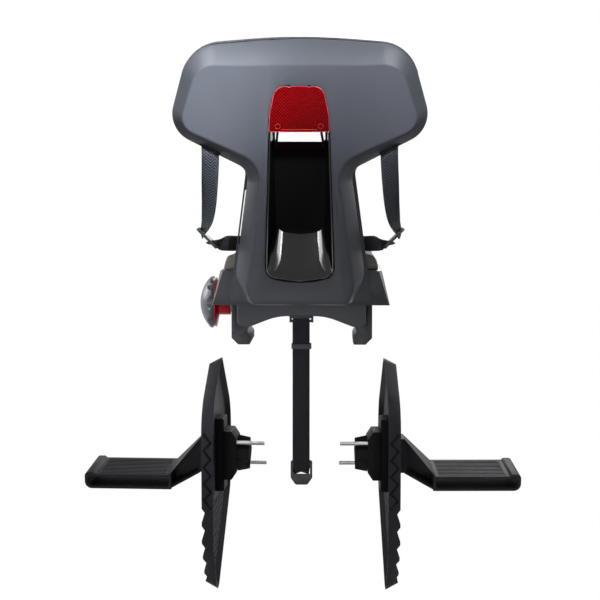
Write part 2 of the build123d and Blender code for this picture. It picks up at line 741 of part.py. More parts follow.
def clamp_housing():
    core_end = (BRIDGE_FRONT + BRIDGE_REAR) / 2
    inside = CORE_HALF - CORE_WALL
    inside_end = BRIDGE_FRONT - BRIDGE_EDGE_R
    ceiling = CORE_TOP - CORE_ROOF
    half_x, half_y = [half + CROTCH_POCKET_MARGIN for half in CROTCH_PLATE_HALF]
    pocket_floor = CORE_TOP - CROTCH_POCKET_DEPTH
    housing = block((-CORE_HALF, CORE_HALF), (-core_end, core_end), (CORE_BOTTOM, CORE_TOP))
    housing -= block((-inside, inside), (-inside_end, inside_end), (0, ceiling))
    housing += bridge(-BRIDGE_REAR, -BRIDGE_FRONT) + bridge(BRIDGE_FRONT, BRIDGE_REAR)
    housing += block((-half_x - CORE_RIB, half_x + CORE_RIB),
                     (CROTCH_Y - half_y - CORE_RIB, CROTCH_Y + half_y + CORE_RIB),
                     (pocket_floor - CORE_RIB, ceiling + PAST))
    housing += block((-CORE_RIB / 2, CORE_RIB / 2), (-core_end, core_end), (CORE_BOTTOM, ceiling + PAST))
    housing -= rod_x(0, SPINDLE_Z, SPINDLE_R + RUN_CLEARANCE, -THROUGH, THROUGH)
    bolt_end = CORE_TOP - HOUSING_BOLT_LENGTH
    for x, y in HOUSING_BOLTS:
        housing += rod_z(x, y, HOUSING_BOSS_R, bolt_end - CORE_RIB, ceiling + PAST)
        housing -= rod_z(x, y, HOUSING_BOLT_R + SCREW_CLEARANCE, bolt_end, THROUGH)
    return housing - block((-half_x, half_x), (CROTCH_Y - half_y, CROTCH_Y + half_y), (pocket_floor, THROUGH))


def housing_bolts():
    bolts = []
    for x, y in HOUSING_BOLTS:
        seat = PAN_TOP_Z - HOUSING_BOLT_HEAD
        head = rod_z(x, y, HOUSING_BOLT_HEAD_R, seat, PAN_TOP_Z)
        bolts.append(head + rod_z(x, y, HOUSING_BOLT_R, PAN_TOP_Z - HOUSING_BOLT_LENGTH, seat))
    return group(bolts)


# Jaws and their drive

GROOVE_X = JAW_INNER + GROOVE_DEPTH - RAIL_R
KNOB_FACE = SKIRT_HALF + KNOB_STAND


def right_jaw(wall_hole):
    low = -JAW_DROP
    body = [(JAW_INNER, JAW_FLOOR_Z), (JAW_OUTER - JAW_WALL, JAW_FLOOR_Z), (JAW_OUTER - JAW_WALL, JAW_WALL_TOP),
            (JAW_OUTER, JAW_WALL_TOP), (JAW_OUTER, low + JAW_CHAMFER), (JAW_OUTER - JAW_CHAMFER, low),
            (JAW_INNER, low)]
    edge = JAW_EDGE_R
    jaw = slab(body, [0, edge, edge, edge, edge, edge, edge], -JAW_HALF_LENGTH, JAW_HALF_LENGTH)
    jaw += block((WEB_INNER, WEB_INNER + WEB_THICK), (-WEB_HALF, WEB_HALF), (0, WEB_TOP))
    jaw -= rod_y(GROOVE_X, -RAIL_R, RAIL_R, -THROUGH, THROUGH)
    jaw -= rod_x(0, SPINDLE_Z, NUT_R + NUT_CLEARANCE, 0, JAW_OUTER - JAW_WALL)
    return jaw - rod_x(0, SPINDLE_Z, wall_hole, JAW_OUTER - JAW_WALL - JAW_EDGE_R, THROUGH)


def right_nut():
    nut = rod_x(0, SPINDLE_Z, NUT_R, WEB_INNER, WEB_INNER + WEB_THICK)
    return nut - rod_x(0, SPINDLE_Z, SPINDLE_R + RUN_CLEARANCE, 0, THROUGH)


def spindle():
    return rod_x(0, SPINDLE_Z, SPINDLE_R, -KNOB_FACE - KNOB_BORE, SPINDLE_END)


def turned(points_face):
    """A profile of X and radius turned about the spindle."""
    axis = Axis((0, 0, SPINDLE_Z), (1, 0, 0))
    return revolve(across(0) * Pos(0, SPINDLE_Z) * points_face, axis)


def knob():
    rim = -KNOB_FACE - KNOB_RIM
    tip = -KNOB_FACE - KNOB_DEPTH
    sphere_r = (KNOB_R ** 2 + (rim - tip) ** 2) / (2 * (rim - tip))
    step = -KNOB_FACE - KNOB_STEP
    foot_r = KNOB_R - KNOB_STEP
    flat = Polyline((tip, 0), (-KNOB_FACE, 0), (-KNOB_FACE, foot_r), (step, foot_r), (step, KNOB_R),
                    (rim, KNOB_R))
    dome = RadiusArc((rim, KNOB_R), (tip, 0), -sphere_r)
    body = turned(make_face(flat + dome))
    reach = KNOB_R + LOBE_CUT_R - LOBE_CUT_DEPTH
    for i in range(LOBES):
        turn = radians(360.0 * i / LOBES)
        body -= rod_x(reach * cos(turn), SPINDLE_Z + reach * sin(turn), LOBE_CUT_R, -THROUGH, 0)
    return body - rod_x(0, SPINDLE_Z, SPINDLE_R + NUT_CLEARANCE, -KNOB_FACE - KNOB_BORE, 0)


def tension_collar():
    bore = SPINDLE_R + NUT_CLEARANCE
    edge = -KNOB_FACE + COLLAR_FLANGE_EDGE
    profile = Polyline((-COLLAR_END, bore), (-COLLAR_END, COLLAR_R), (COLLAR_FLANGE - KNOB_FACE, COLLAR_R),
                       (edge, COLLAR_FLANGE_R), (-KNOB_FACE, COLLAR_FLANGE_R), (-KNOB_FACE, bore), close=True)
    return turned(make_face(profile))


# Harness

ADJUSTER_PLACE = Location(ADJUSTER, (0, -ADJUSTER_TILT, 0))
BUCKLE_Y = BACK_Y + FRONT_FACE + BUCKLE_AHEAD
BUCKLE_PLACE = Location((0, BUCKLE_Y, BUCKLE_Z), (BUCKLE_TILT, 0, 0))


def adjuster_slot_middle(side):
    """Middle of the outer slot (side 1) or the inner slot (side -1) of the right adjuster."""
    along = side * ADJUSTER_SLOT_PLACE
    tilt = radians(ADJUSTER_TILT)
    return ADJUSTER[0] + along * cos(tilt), ADJUSTER[1], ADJUSTER[2] + along * sin(tilt)


def right_adjuster():
    plate = extrude(RectangleRounded(ADJUSTER_LENGTH, ADJUSTER_WIDTH, ADJUSTER_R), ADJUSTER_T / 2, both=True)
    for side in (1, -1):
        slot = Box(ADJUSTER_SLOT, ADJUSTER_SLOT_LENGTH, 2 * ADJUSTER_T)
        plate -= Pos(side * ADJUSTER_SLOT_PLACE, 0, 0) * slot
    return ADJUSTER_PLACE * plate


def right_shoulder_strap():
    slot_z = wing_point(SLOT_X, SLOT_DEPTH)
    top = (LEANING * Pos(SLOT_X, SLOT_DEPTH, slot_z + STRAP_RISE)).position
    mouth = (LEANING * Pos(SLOT_X, SLOT_DEPTH, slot_z - SLOT_REACH)).position
    x, y, z = adjuster_slot_middle(1)
    down = (0, 0, -1)
    inside = ribbon([(top, (0, sin(radians(LEAN)), -1), (1, 0, 0)),
                     (mouth, (0, sin(radians(LEAN)), -1), (1, 0, 0))])
    turn = radians(STRAP_TURN)
    share = (mouth.Z - z - STRAP_TURN_RISE) / (mouth.Z - z)
    half_turned = mouth + (Vector(x, y, z) - mouth) * share
    hanging = ribbon([(mouth, (0, sin(radians(LEAN)), -1), (1, 0, 0)),
                      (half_turned, down, (cos(turn), sin(turn), 0)),
                      ((x, y, z + STRAP_TAIL), down, (0, 1, 0)),
                      ((x, y, z - STRAP_TAIL), down, (0, 1, 0))])
    hem = Location(tuple(top), (LEAN, 0, 0)) * Pos(0, 0, HEM / 2) * Box(WEB_WIDTH, HEM, HEM)
    return inside + hanging + hem


def right_lap_strap():
    x, y, z = adjuster_slot_middle(-1)
    slot_x = TONGUE_SLOT_START + TONGUE_SLOT / 2
    lift = TONGUE_T / 2 + WEB_T / 2 + TONGUE_CLEARANCE
    over = (BUCKLE_PLACE * Pos(TONGUE_END + STRAP_TAIL / 2, 0, lift)).position
    head = (BUCKLE_PLACE * Pos(slot_x - WEB_T / 2, 0, lift)).position
    tilt = radians(BUCKLE_TILT)
    lie = (0, -cos(tilt), -sin(tilt))
    inwards = (-1, 0, 0)
    strap = ribbon([((x + STRAP_TAIL, y, z), inwards, (0, -1, 0)),
                    ((x - STRAP_TAIL, y, z), inwards, (0, -1, 0)),
                    (LAP_MIDDLE, LAP_RUN, LAP_LIE),
                    (tuple(over), inwards, lie),
                    (tuple(head), inwards, lie)])
    tail = Pos(slot_x, 0, lift / 2 - TONGUE_T / 2) * Box(WEB_T, WEB_WIDTH, lift + TONGUE_T)
    return strap + BUCKLE_PLACE * tail


def buckle_body():
    body = extrude(RectangleRounded(BUCKLE_WIDTH, BUCKLE_HEIGHT, BUCKLE_R), BUCKLE_T / 2, both=True)
    faces = body.faces().sort_by(Axis.Z)
    body = fillet(faces[0].edges() + faces[-1].edges(), BUCKLE_EDGE_R)
    blade = TONGUE_BLADE + 2 * TONGUE_CLEARANCE
    for side in (1, -1):
        mouth = Box(BUCKLE_WIDTH, blade, TONGUE_T + 2 * TONGUE_CLEARANCE)
        body -= Pos(side * (TONGUE_START - TONGUE_CLEARANCE + BUCKLE_WIDTH / 2), 0, 0) * mouth
    width = BUTTON_WIDTH + 2 * BUTTON_CLEARANCE
    height = BUTTON_HEIGHT + 2 * BUTTON_CLEARANCE
    well = extrude(RectangleRounded(width, height, BUTTON_R + BUTTON_CLEARANCE), THROUGH)
    body -= Pos(0, 0, BUCKLE_T / 2 + BUTTON_PROUD - BUTTON_T - BUTTON_TRAVEL - BUTTON_CLEARANCE) * well
    slot = Box(WEB_WIDTH + 2 * CROTCH_CLEARANCE, BUCKLE_HEIGHT / 2, WEB_T + 2 * CROTCH_CLEARANCE)
    return BUCKLE_PLACE * (body - Pos(0, BUCKLE_HEIGHT / 2, 0) * slot)


def buckle_button():
    cap = extrude(RectangleRounded(BUTTON_WIDTH, BUTTON_HEIGHT, BUTTON_R), BUTTON_T)
    return BUCKLE_PLACE * Pos(0, 0, BUCKLE_T / 2 + BUTTON_PROUD - BUTTON_T) * cap


def right_tongue():
    blade = block((TONGUE_START, TONGUE_HEAD + TONGUE_R), (-TONGUE_BLADE / 2, TONGUE_BLADE / 2),
                  (-TONGUE_T / 2, TONGUE_T / 2))
    head = Pos((TONGUE_HEAD + TONGUE_END) / 2, 0, 0) * extrude(
        RectangleRounded(TONGUE_END - TONGUE_HEAD, TONGUE_WIDTH, TONGUE_R), TONGUE_T / 2, both=True)
    slot = block((TONGUE_SLOT_START, TONGUE_SLOT_START + TONGUE_SLOT),
                 (-WEB_WIDTH / 2 - TONGUE_CLEARANCE, WEB_WIDTH / 2 + TONGUE_CLEARANCE), (-TONGUE_T, TONGUE_T))
    return BUCKLE_PLACE * (blade + head - slot)


def crotch_slot(gap, low, high):
    half = WEB_WIDTH / 2 + CROTCH_CLEARANCE
    return block((-half, half), (CROTCH_Y - WEB_T / 2 - gap, CROTCH_Y + WEB_T / 2 + gap), (low, high))


def crotch_strap():
    lie = PAN_TOP_Z + SEAT_PAD + CROTCH_LIFT
    slope = -sin(radians(BUCKLE_TILT)) / cos(radians(BUCKLE_TILT))
    start = (BUCKLE_PLACE * Pos(0, BUCKLE_HEIGHT / 2 - STRAP_TAIL / 2, 0)).position
    touch = start.Y + (start.Z - lie) / slope
    route = FilletPolyline((start.Y, start.Z), (touch, lie), (CROTCH_Y, lie), (CROTCH_Y, CROTCH_TAIL),
                           radius=CROTCH_BEND_R)
    strap = extrude(Plane.YZ * trace(route, WEB_T), WEB_WIDTH / 2, both=True)
    return strap + Pos(0, CROTCH_Y, CROTCH_TAIL) * Box(WEB_WIDTH, HEM, HEM / 2)


def crotch_anchor():
    half_x, half_y = CROTCH_PLATE_HALF
    plate = block((-half_x, half_x), (CROTCH_Y - half_y, CROTCH_Y + half_y),
                  (CORE_TOP - CROTCH_PLATE, CORE_TOP))
    return plate - crotch_slot(CROTCH_CLEARANCE, 0, THROUGH)


# Safety strap

STRAP_Y = -(BRIDGE_REAR + BRIDGE_FRONT) / 2
BAR_Z = BRIDGE_ARCH - ANCHOR_BAR_DROP


def safety_anchor():
    rear, front = STRAP_Y - ANCHOR_DEPTH / 2, STRAP_Y + ANCHOR_DEPTH / 2
    anchor = block((-ANCHOR_HALF, ANCHOR_HALF), (rear, front), (BRIDGE_ARCH - ANCHOR_T, BRIDGE_ARCH))
    for side in (1, -1):
        lug = Pos(side * (ANCHOR_HALF - ANCHOR_LUG / 2), STRAP_Y, (BAR_Z + BRIDGE_ARCH - ANCHOR_T) / 2)
        anchor += lug * Box(ANCHOR_LUG, ANCHOR_DEPTH / 2, BRIDGE_ARCH - ANCHOR_T - BAR_Z + 2 * ANCHOR_BAR_R)
    return anchor + rod_x(STRAP_Y, BAR_Z, ANCHOR_BAR_R, -ANCHOR_HALF, ANCHOR_HALF)


def safety_strap():
    top = BAR_Z + ANCHOR_BAR_R + LOOP_PLAY
    bands = []
    for grow in (WEB_T, 0):
        half = LOOP_GAP / 2 + grow
        height = top - LOOP_BOTTOM + 2 * grow
        face = Plane.YZ * Pos(STRAP_Y, (top + LOOP_BOTTOM) / 2) * SlotOverall(height, 2 * half, rotation=90)
        bands.append(extrude(face, WEB_WIDTH / 2, both=True))
    return bands[0] - bands[1]


def safety_keeper():
    inner_x = WEB_WIDTH / 2 + LOOP_PLAY
    inner_y = LOOP_GAP / 2 + WEB_T + LOOP_PLAY
    ring = Box(2 * (inner_x + KEEPER_T), 2 * (inner_y + KEEPER_T), KEEPER_HEIGHT)
    ring -= Box(2 * inner_x, 2 * inner_y, 2 * KEEPER_HEIGHT)
    ring = fillet(ring.edges().filter_by(Axis.Z).group_by(SortBy.DISTANCE)[-1], KEEPER_T / 2)
    return Pos(0, STRAP_Y, KEEPER_Z) * ring


def safety_buckle():
    half, tongue = SAFETY_BUCKLE_HALF, SAFETY_TONGUE_HALF
    neck = LOOP_BOTTOM - 2 * WEB_T - SAFETY_WINDOW
    sides = [(-half, SAFETY_BUCKLE_TOP), (half, SAFETY_BUCKLE_TOP), (half, neck),
             (tongue, SAFETY_BUCKLE_BOTTOM), (-tongue, SAFETY_BUCKLE_BOTTOM), (-half, neck)]
    rear, front = STRAP_Y - SAFETY_BUCKLE_T / 2, STRAP_Y + SAFETY_BUCKLE_T / 2
    frame = slab(sides, [SAFETY_BUCKLE_R] * len(sides), rear, front)
    inner = WEB_WIDTH / 2 + LOOP_PLAY
    window_top = LOOP_BOTTOM + LOOP_GAP / 2
    return frame - block((-inner, inner), (-THROUGH, THROUGH), (window_top - SAFETY_WINDOW, window_top))


# Footrests and spoke guards, drawn with X outwards from the guard's inner face

RIGHT_GUARD = Location((GUARD_X, 0, 0), (0, 0, TOE_IN))


def guard_prism(gap, inner, outer):
    """The guard's outline between two planes, drawn in by its draft on the way outwards."""
    faces = []
    for x in (inner, outer):
        drawn = gap + GUARD_DRAFT * x / GUARD_RIM
        corners = inset(GUARD_CORNERS, [drawn] * len(GUARD_CORNERS))
        radii = [radius - drawn for radius in GUARD_RADII]
        faces.append(outline(corners, radii, Plane((x, 0, 0), x_dir=(0, 1, 0), z_dir=(1, 0, 0))).face())
    return loft(faces, ruled=True)


PLATE_OUT = GUARD_DISH + GUARD_PLATE


def right_spoke_guard():
    guard = guard_prism(0, 0, GUARD_RIM) - guard_prism(GUARD_RIM_WALL, PLATE_OUT, GUARD_RIM + PAST)
    guard -= guard_prism(GUARD_RIM_WALL, -PAST, GUARD_DISH)
    rear = min(y for y, z in GUARD_CORNERS)
    for i in range(NOTCHES):
        z = NOTCH_TOP - i * NOTCH_PITCH
        tooth = [(GUARD_RIM - NOTCH_DEPTH, z), (GUARD_RIM + PAST, z + NOTCH_ABOVE),
                 (GUARD_RIM + PAST, z - NOTCH_BELOW)]
        guard -= slab(tooth, [0, 0, 0], rear - NOTCH_DEPTH, rear + NOTCH_REACH)
    half_y = NECK_HALF_WIDTH + SLIDE_CLEARANCE
    half_z = NECK_HALF_HEIGHT + SLIDE_TRAVEL + SLIDE_CLEARANCE
    guard -= block((GUARD_DISH - PAST, PLATE_OUT + PAST), (-half_y, half_y), (STAY_Z - half_z, STAY_Z + half_z))
    for y, z in RAIL_SCREWS:
        guard -= rod_x(y, z, RAIL_SCREW_R + RAIL_SCREW_CLEARANCE, GUARD_DISH - PAST, PLATE_OUT + PAST)
    return RIGHT_GUARD * guard


RAIL_SCREWS = [(sy * RAIL_SCREW_Y, STAY_Z + sz * RAIL_SCREW_Z) for sy in (1, -1) for sz in (1, -1)]
RAIL_FACE = GUARD_DISH - RAIL_DEPTH


def right_slide_rail():
    half_y, half_z = RAIL_WIDTH / 2, RAIL_HEIGHT / 2
    rail = block((RAIL_FACE, GUARD_DISH), (-half_y, half_y), (STAY_Z - half_z, STAY_Z + half_z))
    rail = fillet(rail.faces().sort_by(Axis.X)[0].edges(), RAIL_EDGE_R)
    pocket = SLIDER_HALF_WIDTH + SLIDE_CLEARANCE
    rail -= block((GUARD_DISH - SLIDER_T - 2 * SLIDE_CLEARANCE, GUARD_DISH), (-pocket, pocket),
                  (STAY_Z - RAIL_POCKET_HALF, STAY_Z + RAIL_POCKET_HALF))
    for y, z in RAIL_SCREWS:
        rail -= rod_x(y, z, RAIL_SCREW_R + RAIL_SCREW_CLEARANCE, GUARD_DISH - RAIL_SCREW_DEPTH, GUARD_DISH)
    return RIGHT_GUARD * rail


def right_rail_screws():
    screws = []
    for y, z in RAIL_SCREWS:
        tip = GUARD_DISH + RAIL_SCREW_CLEARANCE - RAIL_SCREW_DEPTH
        head = rod_x(y, z, RAIL_SCREW_HEAD_R, PLATE_OUT, PLATE_OUT + RAIL_SCREW_HEAD)
        shank = rod_x(y, z, RAIL_SCREW_R, tip, PLATE_OUT)
        screws.append(RIGHT_GUARD * (head + shank))
    return group(screws)


def tread_section(x, depth, height):
    tilt = radians(TREAD_TILT)
    return Plane((x, 0, TREAD_Z), x_dir=(0, cos(tilt), sin(tilt)), z_dir=(1, 0, 0)) * Rectangle(depth, height)


def tread():
    """The hollow foot plate, level, with ribs along its top and a lip at its outer end."""
    top, low = TREAD_HEIGHT / 2, -TREAD_HEIGHT / 2
    wall = TREAD_WALL
    lip = TREAD_END - TREAD_LIP
    outer = [(TREAD_START, top), (lip - TREAD_LIP_RISE, top), (lip, top + TREAD_LIP_RISE),
             (TREAD_END, top + TREAD_LIP_RISE), (TREAD_END, low), (TREAD_START, low)]
    radii = [0, TREAD_EDGE_R, TREAD_EDGE_R, TREAD_LIP_R, TREAD_END_R, 0]
    plate = slab(outer, radii, -TREAD_DEPTH / 2, TREAD_DEPTH / 2)
    inner = [(TREAD_START, top), (TREAD_END, top), (TREAD_END, low), (TREAD_START, low)]
    inner = inset(inner, [wall] * len(inner))
    end_r = TREAD_END_R - wall
    plate -= slab(inner, [wall, end_r, end_r, wall], -THROUGH, THROUGH)
    reach = TREAD_DEPTH / 2 - TREAD_RIB_MARGIN
    for i in range(TREAD_RIBS):
        y = reach * (2 * i / (TREAD_RIBS - 1) - 1)
        plate += block((TREAD_START + TREAD_RIB_MARGIN, lip - TREAD_RIB_MARGIN),
                       (y - TREAD_RIB / 2, y + TREAD_RIB / 2), (top - wall / 2, top + TREAD_RIB_RISE))
    return plate


def footrest_arm():
    """The arm from the root down to the foot plate, with a pocket at the front and one at the rear."""
    root_end = Plane((ROOT_END, 0, STAY_Z), x_dir=(0, 1, 0), z_dir=(1, 0, 0))
    tubes = []
    for wall, past in ((0, 0), (TREAD_WALL, PAST)):
        root = root_end * Rectangle(2 * (ROOT_HALF_WIDTH + past), 2 * (ROOT_HALF_HEIGHT - wall))
        foot = tread_section(TREAD_START + TREAD_WALL, TREAD_DEPTH + 2 * past, TREAD_HEIGHT - 2 * wall)
        tubes.append(loft([root.face(), foot.face()], ruled=True))
    between = (ROOT_END + TREAD_WALL, TREAD_START)
    web = block(between, (-TREAD_WALL / 2, TREAD_WALL / 2), (-THROUGH, THROUGH))
    return tubes[0] - (tubes[1] & block(between, (-THROUGH, THROUGH), (-THROUGH, THROUGH)) - web)


def right_footrest():
    inner = GUARD_DISH - SLIDE_CLEARANCE - SLIDER_T
    slider = block((inner, inner + SLIDER_T), (-SLIDER_HALF_WIDTH, SLIDER_HALF_WIDTH),
                   (STAY_Z - SLIDER_HALF_HEIGHT, STAY_Z + SLIDER_HALF_HEIGHT))
    outer_face = PLATE_OUT + SLIDE_CLEARANCE
    neck = block((inner, outer_face + PAST), (-NECK_HALF_WIDTH, NECK_HALF_WIDTH),
                 (STAY_Z - NECK_HALF_HEIGHT, STAY_Z + NECK_HALF_HEIGHT))
    root = block((outer_face, ROOT_END), (-ROOT_HALF_WIDTH, ROOT_HALF_WIDTH),
                 (STAY_Z - ROOT_HALF_HEIGHT, STAY_Z + ROOT_HALF_HEIGHT))
    root = fillet(root.edges().filter_by(Axis.X), TREAD_WALL)
    plate = Location((0, 0, TREAD_Z), (TREAD_TILT, 0, 0)) * tread()
    return RIGHT_GUARD * (slider + neck + root + footrest_arm() + plate)


def stay_direction():
    """Angle of the stay in the guard's plane, square to the line between the studs."""
    return degrees(atan2(-STUD_Y, STUD_Z))


STUDS = [(STUD_Y, STAY_Z + STUD_Z), (-STUD_Y, STAY_Z - STUD_Z)]


def right_stay_bracket():
    half_y, half_z = STAY_BRACKET_HALF
    base = RAIL_FACE
    step = base - STAY_BRACKET_STEP
    tip = base - STAY_BRACKET_DEPTH
    nose = half_z - STAY_BRACKET_NOSE
    sides = [(tip, STAY_Z + nose), (step, STAY_Z + half_z), (base, STAY_Z + half_z),
             (base, STAY_Z - half_z), (step, STAY_Z - half_z), (tip, STAY_Z - nose)]
    edge = STAY_BRACKET_R
    bracket = slab(sides, [edge, edge, 0, 0, edge, edge], -half_y, half_y)
    for y, z in STUDS:
        bracket -= rod_x(y, z, STUD_SHANK_R + STUD_CLEARANCE, -THROUGH, -STUD_SEAT)
    return RIGHT_GUARD * bracket


def right_stay_block():
    base = RAIL_FACE - STAY_BRACKET_DEPTH
    tip = base - STAY_BLOCK_DEPTH
    half_along, half_across = STAY_BLOCK_HALF
    foot = Plane((base, 0, 0), x_dir=(0, 1, 0), z_dir=(1, 0, 0)) * Rectangle(2 * half_along, 2 * half_across)
    nose = Plane((tip, 0, 0), x_dir=(0, 1, 0), z_dir=(1, 0, 0)) * Rectangle(
        2 * half_along - STAY_BLOCK_TAPER, 2 * half_across - 2 * STAY_BLOCK_TAPER)
    piece = loft([nose.face(), foot.face()], ruled=True)
    piece -= rod_y(tip - STAY_R + STAY_SEAT_DEPTH, 0, STAY_R, -THROUGH, THROUGH)
    return RIGHT_GUARD * (Pos(0, 0, STAY_Z) * (Rot(stay_direction(), 0, 0) * piece))


def right_stay_studs():
    """Studs with a thicker shank in the bracket and a thinner threaded end past it."""
    shoulder = RAIL_FACE - STAY_BRACKET_DEPTH - STUD_SHANK_STAND
    studs = []
    for y, z in STUDS:
        stud = rod_x(y, z, STUD_SHANK_R, shoulder, -STUD_SEAT) + rod_x(y, z, STUD_R, -STUD_END, shoulder)
        studs.append(RIGHT_GUARD * stud)
    return group(studs)


# All nodes

NODES = {
    "back_shell": back_shell(),
    "front_shell": front_shell(),
    "vent_duct": vent_duct(),
    "reflector_lens": reflector_lens(),
    "reflector_bracket": reflector_bracket(),
    "shell_screws": shell_screws(),
    "back_pad": back_pad(),
    "seat_pan": seat_pan(),
    "seat_pad": seat_pad(),
    "back_bolts": back_bolts(),
    "clamp_housing": clamp_housing(),
    "housing_bolts": housing_bolts(),
    "right_jaw": right_jaw(SPINDLE_HOLE_R),
    "left_jaw": mirrored(right_jaw(COLLAR_R + COLLAR_CLEARANCE)),
    "spindle": spindle(),
    "tension_knob": knob(),
    "tension_collar": tension_collar(),
    "buckle_body": buckle_body(),
    "buckle_button": buckle_button(),
    "crotch_strap": crotch_strap(),
    "crotch_anchor": crotch_anchor(),
    "safety_anchor": safety_anchor(),
    "safety_strap": safety_strap(),
    "safety_keeper": safety_keeper(),
    "safety_buckle": safety_buckle(),
}

PAIRS = {
    "jaw_nut": right_nut(),
    "shoulder_strap": right_shoulder_strap(),
    "strap_adjuster": right_adjuster(),
    "lap_strap": right_lap_strap(),
    "buckle_tongue": right_tongue(),
    "spoke_guard": right_spoke_guard(),
    "slide_rail": right_slide_rail(),
    "rail_screws": right_rail_screws(),
    "footrest": right_footrest(),
    "stay_bracket": right_stay_bracket(),
    "stay_block": right_stay_block(),
    "stay_studs": right_stay_studs(),
}

for name, shape in PAIRS.items():
    NODES["right_" + name] = shape
    NODES["left_" + name] = mirrored(shape)

os.makedirs("parts", exist_ok=True)
for name, shape in NODES.items():
    export_step(shape, "parts/" + name + ".step")
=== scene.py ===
import json
from math import cos, pi, radians, sin, sqrt, tan

import bmesh
import bpy
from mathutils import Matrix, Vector


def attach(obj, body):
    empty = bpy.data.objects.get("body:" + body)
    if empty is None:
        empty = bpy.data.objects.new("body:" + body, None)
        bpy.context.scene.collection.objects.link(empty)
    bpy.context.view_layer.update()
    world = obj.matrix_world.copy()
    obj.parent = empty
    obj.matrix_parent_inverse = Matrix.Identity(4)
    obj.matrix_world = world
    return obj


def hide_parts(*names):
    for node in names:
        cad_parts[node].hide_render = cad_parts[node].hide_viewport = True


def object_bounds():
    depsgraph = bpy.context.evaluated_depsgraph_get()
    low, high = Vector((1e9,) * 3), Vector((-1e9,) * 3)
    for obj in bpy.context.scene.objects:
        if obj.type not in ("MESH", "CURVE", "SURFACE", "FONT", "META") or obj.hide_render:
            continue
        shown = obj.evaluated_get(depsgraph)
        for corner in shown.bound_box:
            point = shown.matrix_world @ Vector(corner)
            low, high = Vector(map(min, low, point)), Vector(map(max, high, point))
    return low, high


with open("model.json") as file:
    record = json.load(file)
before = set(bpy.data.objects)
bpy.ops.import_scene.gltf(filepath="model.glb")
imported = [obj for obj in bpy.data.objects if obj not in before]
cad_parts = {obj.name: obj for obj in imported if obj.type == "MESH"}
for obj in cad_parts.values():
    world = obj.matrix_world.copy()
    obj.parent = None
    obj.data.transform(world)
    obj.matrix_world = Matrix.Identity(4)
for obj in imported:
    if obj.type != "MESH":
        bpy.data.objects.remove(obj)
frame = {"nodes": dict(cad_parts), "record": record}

# Child bike seat for a rear carrier, seen from behind. The scene, its settings and its lamps are in
# metres. Named places and sizes are in millimetres, as in the CAD, and MM turns them to metres.
# +X is the rider's right, +Y is the riding direction and +Z is up.

bl_info = {
    "name": "Child bike seat",
    "version": (1, 0, 0),
    "blender": (4, 5, 0),
    "location": "3D View > Sidebar > Bike seat",
    "description": "Dresses the packed child bike seat and sets its stage",
    "category": "Object",
}

CAD_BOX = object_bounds()
MM = 0.001
SIDES = {"left": -1, "right": 1}
ACROSS = Vector((1.0, 0.0, 0.0))

# The backrest: how it leans, where it stands, and the ways out of its face and up along it
LEAN = radians(8.0)
BACK = (-150.0, 41.0)
OUT = Vector((0.0, cos(LEAN), sin(LEAN)))
UP = Vector((0.0, -sin(LEAN), cos(LEAN)))
SHELL_FRONT = 50.0
CROWN_SEAMS = (30.0, 45.4)
CROWN_LOW = 318.0
SEAM_R = 0.7

# The vent duct: its panel, its upper lip, and then at its mouth and at its panel a lower corner, the
# shoulder above that corner, the foot's lowest point and the wall
DUCT_PANEL = 42.0
# Above the lip the duct's panel carries a painted red reflection of the reflector
DUCT_LIP = 220.0
DUCT_DEPTHS = (6.3, 41.8)
DUCT_CORNERS = (
    ((50.5, 40.5), (42.8, 272.0), (0.0, 27.5), 3.3),
    ((37.5, 102.0), (40.8, 270.0), (0.0, 90.0), 2.5),
)

# The coves in the duct's lower corners: their radius at the mouth, at its widest and at the panel
COVE_MOUTH = 15.0
COVE_WIDEST = 25.0
COVE_PANEL = 15.0
COVE_RAMP = 0.35
COVE_STEPS = 12
COVE_RINGS = 8

# The reflector: its rim, drawn as a pale bead that is a painted highlight, the rings round its pegs and
# the bar along its foot
LENS_FACE = -1.5
LENS_BOTTOM = 248.0
RIM_DEPTH = 0.9
RIM_R = 0.6
PEG_X = 30.0
PEG_RISE = 8.0
PEG_R = 3.4
PEG_RING = 0.6
CIRCLE_STEPS = 24
BAR_INSET = 4.5
BAR_DEPTH = 0.2
BAR_RISE = 3.4
BAR_R = 0.8

# The pads: where their covers are held, the piping, and the groove under the crotch strap
BACK_PAD = 22.0
SEAT_TOP = 88.0
SEAT_PAD = 26.0
HELD_WITHIN = 2.0
PIPING_SHARE = 0.55
STITCH_BESIDE = 3.4
GROOVE_HALF = 16.0
GROOVE_DEPTH = 0.4
COVER_FRAMES = 20

# The clamp: the pips on its collar, black beads that are painted shade standing for two small holes, and
# the knurl on its jaws
SPINDLE_Z = 32.0
COLLAR_R = 20.0
COLLAR_HOLE_SHADES = ((-112.5, 10.5), (-113.0, 16.0))
PIP_SPAN = (0.97, 1.02)
PIP_R = 1.1
JAW_FACE = 78.7
KNURL_ROWS = (-18.2, -21.8, -25.4)
KNURL_HALF = 45
KNURL_PITCH = 4
KNURL_SIZE = 2.2
KNURL_HEIGHT = 0.9

# The spoke guards: outline as places forward and up, rim, dish, honeycomb and the zigzag on the rim,
# painted black as a shadow line
GUARD_X = 127.0
TOE_IN = radians(2.1)
GUARD_CORNERS = ((5, -50), (122, -150), (122, -275), (-60, -421), (-108, -335), (-108, -120))
GUARD_RIM = 19.0
GUARD_DRAFT = 10.0
GUARD_DISH = 8.0
GUARD_REAR = -108.0
COMB_REAR = -110.0
COMB_TOP = -226.0
COMB_COUNT = 40
COMB_MARGIN = 21.0
RAIL_HALF = 33.0
RAIL_FOOT = -274.0
RIDGE_TOP = -158.0
RIDGE_PITCH = 12.5
RIDGE_COUNT = 10
RIDGE_ENDS = (15.5, 4.0)

# The studs that hold the stay brackets, and their threads
STAY_Z = -206.0
STUDS = ((-18.0, 19.0), (18.0, -19.0))
THREAD_START = -68.5
THREAD_LENGTH = 23.0
THREAD_TURNS = 23.0
THREAD_R = 2.95
THREAD_RIDGE = 0.32

